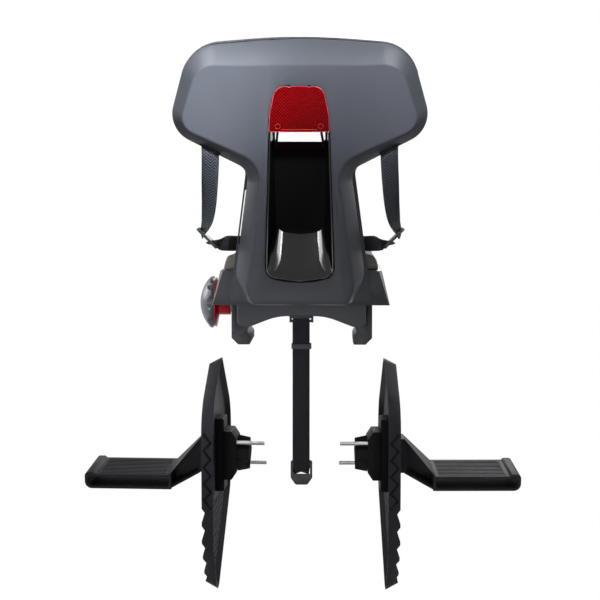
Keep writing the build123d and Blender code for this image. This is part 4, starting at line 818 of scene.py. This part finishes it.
def ribbon(name, stations, settings):
    """Flat webbing along stations, each a point and the way its width lies, in millimetres."""
    points = [Vector(point) * MM for point, lie in stations]
    lies = [Vector(lie).normalized() for point, lie in stations]
    path = smooth_path(points, settings.step)
    turns = []
    for start, end, first, second in zip(points, points[1:], lies, lies[1:]):
        count = max(2, round((end - start).length / settings.step))
        turns += [first.lerp(second, k / count).normalized() for k in range(count)]
    turns.append(lies[-1])
    half = settings.width / 2
    profile = webbing_profile(half, settings.thickness / 2)
    shape = bmesh.new()
    uv = shape.loops.layers.uv.new("weave")
    rings = []
    lengths = [0.0]
    for i, (point, lie) in enumerate(zip(path, turns)):
        run = (path[min(i + 1, len(path) - 1)] - path[max(i - 1, 0)]).normalized()
        lie = (lie - run * lie.dot(run)).normalized()
        out = run.cross(lie)
        rings.append([shape.verts.new(point + lie * x + out * y) for x, y in profile])
        if i:
            lengths.append(lengths[-1] + (point - path[i - 1]).length)
    count = len(profile)
    for i in range(len(rings) - 1):
        for k in range(count):
            n = (k + 1) % count
            face = shape.faces.new((rings[i][k], rings[i + 1][k], rings[i + 1][n], rings[i][n]))
            for loop, (row, place) in zip(face.loops, ((i, k), (i + 1, k), (i + 1, n), (i, n))):
                loop[uv].uv = (profile[place][0] + half, lengths[row])
    for ring in (rings[0], rings[-1]):
        face = shape.faces.new(ring)
        for loop, (x, y) in zip(face.loops, profile):
            loop[uv].uv = (x + half, 0)
    bmesh.ops.recalc_face_normals(shape, faces=shape.faces)
    mesh = plain_mesh(name, shape)
    shade(mesh, sharp=60.0)
    return new_piece(name, mesh), lengths[-1]


def strap(name, stations, settings, node, key="webbing"):
    """A strap of webbing in place of its CAD node."""
    piece, length = ribbon(name, stations, settings)
    settle(piece, body_of_node(node), key, [node])
    return piece


def on_side(side, stations):
    """Stations of a right-hand strap, mirrored for the left side."""
    return [((side * x, y, z), (side * a, b, c)) for (x, y, z), (a, b, c) in stations]


# The stage

def make_camera(scene, settings):
    """A camera on a sphere about its target, turned towards it."""
    camera = bpy.data.objects.new("camera", bpy.data.cameras.new("camera"))
    scene.collection.objects.link(camera)
    back = Vector((sin(settings.azimuth) * cos(settings.elevation),
                   -cos(settings.azimuth) * cos(settings.elevation), sin(settings.elevation)))
    camera.location = Vector(settings.target) + back * settings.distance
    camera.rotation_mode = "QUATERNION"
    camera.rotation_quaternion = (-back).to_track_quat("-Z", "Y")
    camera.data.lens = settings.lens
    camera.data.sensor_width = SENSOR
    scene.camera = camera


def seen_directly(tree):
    """1 where the camera, gloss or glass looks, so that all of them see plain white."""
    path = add_node(tree, "ShaderNodeLightPath").outputs
    seen = add_node(tree, "ShaderNodeMath", {"operation": "MAXIMUM"}, {
        0: path["Is Camera Ray"], 1: path["Is Glossy Ray"]})
    return add_node(tree, "ShaderNodeMath", {"operation": "MAXIMUM"}, {
        0: seen, 1: path["Is Transmission Ray"]})


def make_world(scene):
    """A dim sky that looks white."""
    world = bpy.data.worlds.new("studio")
    world.use_nodes = True
    tree = world.node_tree
    sky = add_node(tree, "ShaderNodeMix", {"data_type": "RGBA"}, {
        0: seen_directly(tree), 6: SKY_FILL, 7: WHITE})
    set_inputs(tree, tree.nodes["Background"], {"Color": sky.outputs[2]})
    scene.world = world


def make_floor(height):
    """A pale floor that looks white, like the sky."""
    shape = bmesh.new()
    bmesh.ops.create_grid(shape, x_segments=1, y_segments=1, size=FLOOR_HALF)
    ground = new_piece("floor", plain_mesh("floor", shape))
    ground.location.z = height
    material, tree, shader = new_material("pale_floor")
    set_inputs(tree, shader, {
        "Base Color": shaded(linear("#A8A8A8")), "Roughness": 0.9, "Specular IOR Level": 0.1})
    glow = add_node(tree, "ShaderNodeEmission", inputs={"Strength": 1.0})
    seen = add_node(tree, "ShaderNodeMixShader", inputs={0: seen_directly(tree), 1: shader, 2: glow})
    set_inputs(tree, tree.nodes["Material Output"], {"Surface": seen})
    ground.data.materials.append(material)


def area_light(name, place, aim, size, power, spread=180.0, shows="both", colour=(1.0, 1.0, 1.0)):
    """A softbox: spread narrows its beam, and it shows in gloss, in matt surfaces or in both."""
    light = bpy.data.lights.new(name, "AREA")
    light.shape = "RECTANGLE"
    light.size, light.size_y = size
    light.energy = power
    light.spread = radians(spread)
    light.color = colour
    lamp = bpy.data.objects.new(name, light)
    bpy.context.scene.collection.objects.link(lamp)
    lamp.location = place
    lamp.rotation_mode = "QUATERNION"
    lamp.rotation_quaternion = (Vector(aim) - Vector(place)).to_track_quat("-Z", "Y")
    lamp.visible_diffuse = shows != "gloss"
    lamp.visible_glossy = shows != "matt"


def make_lights():
    """Cards that streak the duct, crossed keys on the upper wings, and soft lamps all round."""
    for name, side in SIDES.items():
        area_light(name + "_card", place=(side * 0.6, -0.9, 1.15), aim=(0.0, -0.15, 0.15),
                   size=(0.55, 0.7), power=24.0, shows="gloss")
        area_light(name + "_side", place=(side * 1.7, 0.9, 0.5), aim=(side * 0.1, 0.0, -0.05),
                   size=(0.8, 0.8), power=1.8, spread=60.0)
    area_light("top_strip", place=(0.0, -1.1, 1.1), aim=(0.0, -0.15, 0.2), size=(0.5, 0.3), power=1.3,
               shows="matt")
    area_light("left_key", place=(0.4, -1.0, 0.9), aim=(-0.17, -0.2, 0.335), size=(0.12, 0.12),
               power=1.0, spread=20.0, colour=COOL)
    area_light("right_key", place=(-0.4, -1.0, 0.9), aim=(0.14, -0.2, 0.365), size=(0.12, 0.12),
               power=0.46, spread=20.0, colour=COOL)
    area_light("low_fill", place=(-0.2, -1.6, -0.5), aim=(0.0, -0.1, -0.28), size=(1.2, 0.3), power=0.6,
               spread=40.0)
    area_light("left_softbox", place=(-1.3, -0.9, 0.05), aim=(-0.17, -0.1, 0.01), size=(0.3, 0.3),
               power=0.24, spread=16.0, colour=COOL)
    area_light("right_softbox", place=(1.3, -1.2, 0.1), aim=(0.1, -0.15, -0.1), size=(0.7, 0.9), power=1.6)
    area_light("front_softbox", place=(0.4, 1.8, 1.1), aim=(0.0, 0.0, 0.05), size=(1.0, 0.8), power=4.2,
               spread=60.0)


class SEAT_OT_stage(bpy.types.Operator):
    """Camera, lights, floor and backdrop"""
    bl_idname = "seat.stage"
    bl_label = "Set the stage"

    def execute(self, context):
        settings = context.scene.seat_stage
        make_camera(context.scene, settings)
        make_world(context.scene)
        make_floor(CAD_BOX[0].z - settings.floor_drop)
        make_lights()
        context.scene.view_settings.view_transform = "Standard"
        return {"FINISHED"}


# Shells

def rim_line(name, piece, depth, low):
    """The outer line where a plane along the back cuts a piece, above a height on the back."""
    line = section_piece(name, piece, leaning(0, depth, 0), OUT)
    shape = bmesh.new()
    shape.from_mesh(line.data)
    reached = {max(shape.verts, key=lambda vert: vert.co.x)}
    fresh = list(reached)
    while fresh:
        vert = fresh.pop()
        beside = {edge.other_vert(vert) for edge in vert.link_edges} - reached
        reached |= beside
        fresh += beside
    floor = leaning(0, 0, low)
    lost = [vert for vert in shape.verts if vert not in reached or (vert.co - floor).dot(UP) < 0]
    bmesh.ops.delete(shape, geom=lost, context="VERTS")
    shape.to_mesh(line.data)
    shape.free()
    return line


class SEAT_OT_shells(bpy.types.Operator):
    """Backrest shells with the seams along their crown, and the seat pan"""
    bl_idname = "seat.shells"
    bl_label = "Dress the shells"

    def execute(self, context):
        shell = dress("back_shell", BROAD_EDGE)
        dress("front_shell", BROAD_EDGE)
        dress("seat_pan", BROAD_EDGE)
        for i, depth in enumerate(CROWN_SEAMS):
            seam = rim_line(f"crown_seam_{i + 1}", shell, depth, CROWN_LOW)
            grow(seam, "bead", {"Radius": SEAM_R * MM}, "seat", "matt_black")
        return {"FINISHED"}


# Vent duct

def duct_corner(corner, shoulder, sag, wall):
    """A lower corner of the duct's inside, and the ways up its side and along its foot."""
    corner = Vector(corner)
    up = (Vector(shoulder) - corner).normalized()
    along = (Vector(sag) - corner).normalized()
    return corner + (up + along) * wall / sin(up.angle(along)), up, along


def cove_radius(share):
    """A cove's radius at a share of the way from the duct's mouth to its panel."""
    if share < COVE_RAMP:
        return COVE_MOUTH + (COVE_WIDEST - COVE_MOUTH) * share / COVE_RAMP
    return COVE_WIDEST + (COVE_PANEL - COVE_WIDEST) * (share - COVE_RAMP) / (1 - COVE_RAMP)


def cove_ring(side, share):
    """Outline of the cove in a lower corner, at a share of the way from the duct's mouth to its panel."""
    ends = [duct_corner(*place) for place in DUCT_CORNERS]
    corner, up, along = (first.lerp(last, share) for first, last in zip(*ends))
    radius = cove_radius(share)
    half = up.angle(along) / 2
    sweep = pi - 2 * half
    middle = corner + (up + along).normalized() * radius / sin(half)
    first, last = (corner + way * radius / tan(half) - middle for way in (up, along))
    ring = []
    for k in range(COVE_STEPS + 1):
        turn = sweep * k / COVE_STEPS
        ring.append(middle + (first * sin(sweep - turn) + last * sin(turn)) / sin(sweep))
    ring.append(corner - up - along)
    depth = DUCT_DEPTHS[0] + (DUCT_DEPTHS[1] - DUCT_DEPTHS[0]) * share
    return [leaning(side * point.x, depth, point.y) for point in ring]


class SEAT_OT_duct(bpy.types.Operator):
    """Vent duct, with the coves in its lower corners"""
    bl_idname = "seat.duct"
    bl_label = "Dress the duct"

    def execute(self, context):
        dress("vent_duct", PLAIN_EDGE)
        for name, side in SIDES.items():
            rings = [cove_ring(side, i / COVE_RINGS) for i in range(COVE_RINGS + 1)]
            settle(lofted(name + "_duct_cove", rings), "seat", "gloss_black")
        return {"FINISHED"}


# Reflector

def peg_ring(side):
    """A circle on the reflector's face round one of its pegs."""
    centre = leaning(side * PEG_X, LENS_FACE, LENS_BOTTOM + PEG_RISE)
    turns = [2 * pi * i / CIRCLE_STEPS for i in range(CIRCLE_STEPS)]
    return [centre + (ACROSS * cos(turn) + UP * sin(turn)) * PEG_R * MM for turn in turns]


class SEAT_OT_reflector(bpy.types.Operator):
    """Reflector with its rim painted pale as a highlight, its marks, and its bracket"""
    bl_idname = "seat.reflector"
    bl_label = "Dress the reflector"

    def execute(self, context):
        lens = dress("reflector_lens", THIN_EDGE)
        dress("reflector_bracket", THIN_EDGE)
        # The rim is a pale pink bead: a painted highlight along the lens's edge
        rim = section_piece("reflector_rim", lens, leaning(0, LENS_FACE + RIM_DEPTH, 0), OUT)
        grow(rim, "bead", {"Radius": RIM_R * MM}, "seat", "lens_rim")
        rings = line_piece("reflector_peg_marks", [peg_ring(side) for side in (1, -1)], closed=True)
        grow(rings, "bead", {"Radius": PEG_RING * MM}, "seat", "lens_mark")
        bar = [leaning(side * (PEG_X - BAR_INSET), LENS_FACE + BAR_DEPTH, LENS_BOTTOM + BAR_RISE)
               for side in (1, -1)]
        foot = line_piece("reflector_foot_bar", [bar])
        grow(foot, "bead", {"Radius": BAR_R * MM}, "seat", "lens_bar")
        return {"FINISHED"}


# Pads

def puffed(node, name, held, settings):
    """A pad's cover, blown up over its foam by a cloth simulation and held where it lies on its shell."""
    piece = new_piece(name, merged_copy(node, name))
    voxels = piece.modifiers.new("Voxels", "REMESH")
    voxels.mode = "VOXEL"
    voxels.voxel_size = settings.voxel
    bake(piece)
    fixed = [point.index for point in piece.data.vertices if held(point.co)]
    normals = [point.normal.copy() for point in piece.data.vertices]
    for point, normal in zip(piece.data.vertices, normals):
        if not held(point.co):
            point.co -= normal * settings.slack
    rest = [point.co.copy() for point in piece.data.vertices]
    swell(piece, fixed, settings)
    for point, start in zip(piece.data.vertices, rest):
        moved = point.co - start
        if moved.length > settings.cap:
            moved = moved.normalized() * settings.cap
        point.co = start + moved
    return piece


def swell(piece, fixed, settings):
    """Runs the cloth simulation under pressure and keeps its last frame."""
    piece.vertex_groups.new(name="held").add(fixed, 1.0, "REPLACE")
    cover = piece.modifiers.new("Cover", "CLOTH")
    cover.settings.use_pressure = True
    cover.settings.uniform_pressure_force = settings.pressure
    cover.settings.effector_weights.gravity = 0.0
    cover.settings.vertex_group_mass = "held"
    cover.collision_settings.use_collision = False
    cover.point_cache.frame_start = 1
    cover.point_cache.frame_end = COVER_FRAMES
    for number in range(1, COVER_FRAMES + 1):
        bpy.context.scene.frame_set(number)
    bake(piece)
    bpy.context.scene.frame_set(1)


def finish_cover(piece):
    """Evens out a simulated cover and gives it one subdivision."""
    relax = piece.modifiers.new("Relax", "SMOOTH")
    relax.factor = 0.5
    relax.iterations = 4
    finer = piece.modifiers.new("Finer", "SUBSURF")
    finer.levels = finer.render_levels = 1
    bake(piece)
    piece.vertex_groups.clear()
    shade(piece.data, sharp=180.0)


def bind_edge(name, piece, point, settings, webbing):
    """Piping round the back pad, and a row of stitches beside it."""
    piping = section_piece(name + "_piping", piece, point, OUT)
    grow(piping, "bead", {"Radius": settings.piping}, "seat", "binding")
    row = section_piece(name + "_stitches", piece, point + OUT * STITCH_BESIDE * MM, OUT)
    values = {"Pitch": webbing.pitch, "Thread": webbing.thread}
    grow(row, "stitches", values, "seat", "thread")


class SEAT_OT_pads(bpy.types.Operator):
    """Back pad and seat pad"""
    bl_idname = "seat.pads"
    bl_label = "Make the pads"

    def execute(self, context):
        settings = context.scene.seat_pads
        foot = leaning(0, SHELL_FRONT + HELD_WITHIN, 0)
        back = puffed("back_pad", "back_pad_cover", lambda co: (co - foot).dot(OUT) < 0.0, settings)
        finish_cover(back)
        settle(back, "seat", "back_cloth", ["back_pad"])
        seam = leaning(0, SHELL_FRONT + PIPING_SHARE * BACK_PAD, 0)
        bind_edge("back_pad", back, seam, settings, context.scene.seat_webbing)
        rim = (SEAT_TOP + HELD_WITHIN) * MM
        seat = puffed("seat_pad", "seat_pad_cover", lambda co: co.z < rim, settings)
        for point in seat.data.vertices:
            if abs(point.co.x) < GROOVE_HALF * MM:
                point.co.z = min(point.co.z, (SEAT_TOP + SEAT_PAD - GROOVE_DEPTH) * MM)
        finish_cover(seat)
        settle(seat, "seat", "seat_cloth", ["seat_pad"])
        return {"FINISHED"}


# Harness: places in millimetres and the way that the webbing's width lies, for the right strap of a pair
SHOULDER_RIGHT = [
    ((127, -161.1, 269.1), (1, 0, 0)),
    ((127, -158.9, 252), (1, 0, 0)),
    ((129, -147, 223.5), (0.97, 0.2, 0)),
    ((132.5, -128.5, 186), (0.86, 0.5, 0)),
    ((136.5, -117.5, 163), (0.72, 0.7, 0)),
    ((141.5, -112.5, 149), (0.5, 0.87, 0)),
    ((143.8, -112, 141), (0.25, 1, 0)),
    ((143.8, -112, 135), (0.1, 1, 0)),
]
LAP_RIGHT = [
    ((137.2, -112, 128.2), (0, -1, 0.1)),
    ((121.5, -112, 128.2), (0, -0.9, 0.45)),
    ((110, -104.5, 127.9), (-0.1, -0.45, 0.9)),
    ((86, -82, 127.5), (-0.2, -0.4, 0.9)),
    ((47.5, -50.4, 136.3), (0, -0.82, 0.57)),
    ((33.2, -50.4, 136.3), (0, -0.82, 0.57)),
]
CROTCH = [
    ((0, -39.3, 125.1), (1, 0, 0)),
    ((0, -29.5, 118.3), (1, 0, 0)),
    ((0, -21.5, 115.8), (1, 0, 0)),
    ((0, 6.5, 115.5), (1, 0, 0)),
    ((0, 12.2, 114.6), (1, 0, 0)),
    ((0, 14.7, 111.4), (1, 0, 0)),
    ((0, 15, 104), (1, 0, 0)),
    ((0, 15, 76), (1, 0, 0)),
]


class SEAT_OT_harness(bpy.types.Operator):
    """Shoulder, lap and crotch straps with their buckle and adjusters"""
    bl_idname = "seat.harness"
    bl_label = "Dress the harness"

    def execute(self, context):
        settings = context.scene.seat_webbing
        for name, side in SIDES.items():
            strap(name + "_shoulder_webbing", on_side(side, SHOULDER_RIGHT), settings,
                  name + "_shoulder_strap")
            strap(name + "_lap_webbing", on_side(side, LAP_RIGHT), settings,
                  name + "_lap_strap")
            dress(name + "_strap_adjuster", BROAD_EDGE)
            dress(name + "_buckle_tongue", FITTING_EDGE)
        dress("buckle_body", BUCKLE_EDGE)
        dress("buckle_button", BROAD_EDGE)
        strap("crotch_webbing", CROTCH, settings, "crotch_strap")
        dress("crotch_anchor", THIN_EDGE)
        return {"FINISHED"}


# Carrier clamp

def collar_pip(x, drop):
    """A short line out through the collar's rear face, at a drop below the spindle, for a black bead that
    is the painted shade of a hole.
    """
    rear = sqrt(COLLAR_R ** 2 - drop ** 2)
    return [Vector((x, -rear * reach, SPINDLE_Z - drop * reach)) * MM for reach in PIP_SPAN]


class SEAT_OT_clamp(bpy.types.Operator):
    """Clamp housing, jaws, knob and collar, and the metal parts of the seat"""
    bl_idname = "seat.clamp"
    bl_label = "Dress the clamp"

    def execute(self, context):
        dress("clamp_housing", BROAD_EDGE, "pan_grey")
        dress("left_jaw", BROAD_EDGE)
        dress("right_jaw", BROAD_EDGE)
        dress("tension_knob", PLAIN_EDGE, "knob_grey")
        dress("tension_collar", FITTING_EDGE)
        # The collar's two holes are drawn as black beads: painted shade in place of the holes
        pips = line_piece("collar_pips", [collar_pip(*pip) for pip in COLLAR_HOLE_SHADES])
        grow(pips, "bead", {"Radius": PIP_R * MM}, "knob", "matt_black")
        for node in ("spindle", "left_jaw_nut", "right_jaw_nut", "housing_bolts", "back_bolts",
                     "shell_screws"):
            dress(node, METAL_EDGE)
        for name, side in SIDES.items():
            spots = [Vector((side * JAW_FACE, y, z)) * MM for z in KNURL_ROWS
                     for y in range(-KNURL_HALF, KNURL_HALF + 1, KNURL_PITCH)]
            values = {"Size": KNURL_SIZE * MM, "Height": KNURL_HEIGHT * MM, "Turn": turn_to((-side, 0, 0))}
            grow(spot_piece(name + "_jaw_knurl", spots), "knurl", values, name + "_jaw",
                 "black_plastic")
        return {"FINISHED"}


# Safety strap: its loop, the stretch where its ends lie over each other, and the box of stitches there
LOOP_Y = -63.0
LOOP_R = 3.3
LOOP_TOP = 9.0
LOOP_FOOT = -216.5
LOOP_STEPS = 6
LOOP_REAR = (-150.0, -60.0)
LOOP_FRONT = -50.0
LAP_OVER = (-86.0, -122.0)
LAP_RUN = 12.0
LAP_LIFT = 1.8
LAYER_SHIFT = -1.2
STITCH_HALF = 9.0
STITCH_LIFT = 2.75
STITCH_TOP, STITCH_FOOT = -92.0, -119.0


def safety_loop():
    """Stations round the safety strap's loop, with its ends sewn over each other at the front."""
    front, rear = LOOP_Y + LOOP_R, LOOP_Y - LOOP_R

    def bend(middle, start):
        turns = [start + pi * k / LOOP_STEPS for k in range(1, LOOP_STEPS)]
        return [(LAYER_SHIFT / 2, LOOP_Y + LOOP_R * cos(turn), middle - LOOP_R * sin(turn))
                for turn in turns]

    under = [(LAYER_SHIFT, front, z) for z in (*LAP_OVER, LOOP_FOOT)]
    behind = [(0.0, rear, z) for z in (LOOP_FOOT, *LOOP_REAR, LOOP_TOP)]
    down = [(LAYER_SHIFT, front, z) for z in (LOOP_TOP, LOOP_FRONT)]
    over = [(LAYER_SHIFT, front + LAP_LIFT / 2, LAP_OVER[0] + LAP_RUN)]
    over += [(LAYER_SHIFT, front + LAP_LIFT, z) for z in LAP_OVER]
    path = under + bend(LOOP_FOOT, 0.0) + behind + bend(LOOP_TOP, pi) + down + over
    return [(point, ACROSS) for point in path]


def stitch_box():
    """The four sides and two diagonals of the box of stitches."""
    left, right = ((LAYER_SHIFT + side * STITCH_HALF, LOOP_Y + LOOP_R + STITCH_LIFT) for side in (-1, 1))
    a, b, c, d = (*left, STITCH_TOP), (*right, STITCH_TOP), (*right, STITCH_FOOT), (*left, STITCH_FOOT)
    return [[Vector(start) * MM, Vector(end) * MM]
            for start, end in ((a, d), (b, c), (a, b), (d, c), (a, c), (b, d))]


class SEAT_OT_safety_strap(bpy.types.Operator):
    """Safety strap under the seat, with its anchor, keeper and buckle"""
    bl_idname = "seat.safety_strap"
    bl_label = "Dress the safety strap"

    def execute(self, context):
        settings = context.scene.seat_webbing
        for node in ("safety_anchor", "safety_keeper", "safety_buckle"):
            dress(node, FITTING_EDGE)
        # The safety strap is in a darker copy of the webbing: painted shade under the seat
        strap("safety_webbing", safety_loop(), settings, "safety_strap",
              "dark_webbing")
        grow(line_piece("safety_strap_stitches", stitch_box()), "stitches", {
            "Pitch": settings.pitch, "Thread": settings.thread}, "seat", "thread")
        return {"FINISHED"}


# Footrests and spoke guards

def inside_guard(y, z, margin):
    """Whether a place on the guard lies inside its outline by a margin."""
    for (ay, az), (by, bz) in zip(GUARD_CORNERS, GUARD_CORNERS[1:] + GUARD_CORNERS[:1]):
        run = sqrt((by - ay) ** 2 + (bz - az) ** 2)
        if ((by - ay) * (az - z) - (bz - az) * (ay - y)) / run < margin:
            return False
    return True


def honeycomb_spots(side, cell):
    """Middles of the honeycomb's cells over the lower half of a guard's dish, clear of the slide rail."""
    spots = []
    radius = cell / MM
    for row in range(COMB_COUNT):
        for column in range(COMB_COUNT):
            y = COMB_REAR + (column + 0.5 * (row % 2)) * radius * sqrt(3)
            z = COMB_TOP - row * radius * 1.5
            by_rail = abs(y) < RAIL_HALF and z > RAIL_FOOT
            if inside_guard(y, z, COMB_MARGIN) and not by_rail:
                spots.append(guard_point(side, GUARD_DISH, y, z))
    return spots


def rim_zigzag(side):
    """A zigzag down the rear of a guard's rim, which slopes forward as it goes outwards."""
    line = []
    for i in range(RIDGE_COUNT):
        x = RIDGE_ENDS[i % 2]
        y = GUARD_REAR + GUARD_DRAFT * x / GUARD_RIM
        line.append(guard_point(side, x, y, RIDGE_TOP - i * RIDGE_PITCH))
    return line


class SEAT_OT_footrests(bpy.types.Operator):
    """Footrests, spoke guards and what fixes them to the stays"""
    bl_idname = "seat.footrests"
    bl_label = "Dress the footrests"

    def execute(self, context):
        settings = context.scene.seat_guards
        for name, side in SIDES.items():
            dress(name + "_spoke_guard", BROAD_EDGE)
            dress(name + "_slide_rail", PLAIN_EDGE, "matt_black")
            dress(name + "_stay_bracket", PLAIN_EDGE, "matt_black")
            dress(name + "_footrest", PLAIN_EDGE)
            dress(name + "_stay_block", PLAIN_EDGE)
            dress(name + "_rail_screws", THIN_EDGE)
            dress(name + "_stay_studs", THIN_EDGE)
            turn = turn_to(guard_axis(side))
            # The honeycomb's ribs are painted paler than the guard: a painted highlight on them against
            # the shade in the cells
            comb = spot_piece(name + "_guard_honeycomb", honeycomb_spots(side, settings.cell))
            grow(comb, "honeycomb", {"Cell": settings.cell, "Rib": settings.rib, "Turn": turn}, "seat",
                 "rib_grey")
            # The zigzag's ridges are black: a painted shadow line along them on the grey rim
            ridges = line_piece(name + "_guard_ridges", [rim_zigzag(side)])
            grow(ridges, "bead", {"Radius": settings.zigzag}, "seat", "matt_black")
            starts = [guard_point(side, THREAD_START, y, STAY_Z + z) for y, z in STUDS]
            grow(spot_piece(name + "_stud_threads", starts), "thread", {
                "Radius": THREAD_R * MM, "Height": THREAD_LENGTH * MM, "Turns": THREAD_TURNS,
                "Ridge": THREAD_RIDGE * MM, "Turn": turn}, "seat", "zinc_steel")
        return {"FINISHED"}


# Panel and registration

class SEAT_PT_panel(bpy.types.Panel):
    """Sidebar panel with the settings and the steps"""
    bl_idname = "SEAT_PT_panel"
    bl_label = "Bike seat"
    bl_space_type = "VIEW_3D"
    bl_region_type = "UI"
    bl_category = "Bike seat"

    def draw(self, context):
        for name, group in GROUPS.items():
            for setting in group.__annotations__:
                self.layout.prop(getattr(context.scene, name), setting)
        for operator in OPERATORS:
            self.layout.operator(operator.bl_idname)


GROUPS = {
    "seat_stage": StageSettings, "seat_colours": ColourSettings, "seat_webbing": WebbingSettings,
    "seat_pads": PadSettings, "seat_guards": GuardSettings,
}
OPERATORS = (
    SEAT_OT_stage, SEAT_OT_shells, SEAT_OT_duct, SEAT_OT_reflector, SEAT_OT_pads, SEAT_OT_harness,
    SEAT_OT_clamp, SEAT_OT_safety_strap, SEAT_OT_footrests,
)
CLASSES = (*GROUPS.values(), *OPERATORS, SEAT_PT_panel)


def register():
    for cls in CLASSES:
        bpy.utils.register_class(cls)
    for name, group in GROUPS.items():
        setattr(bpy.types.Scene, name, bpy.props.PointerProperty(type=group))


def unregister():
    for name in GROUPS:
        delattr(bpy.types.Scene, name)
    for cls in reversed(CLASSES):
        bpy.utils.unregister_class(cls)


def main():
    register()
    bpy.ops.seat.stage()
    bpy.ops.seat.shells()
    bpy.ops.seat.duct()
    bpy.ops.seat.reflector()
    bpy.ops.seat.pads()
    bpy.ops.seat.harness()
    bpy.ops.seat.clamp()
    bpy.ops.seat.safety_strap()
    bpy.ops.seat.footrests()


if __name__ == "__main__":
    main()
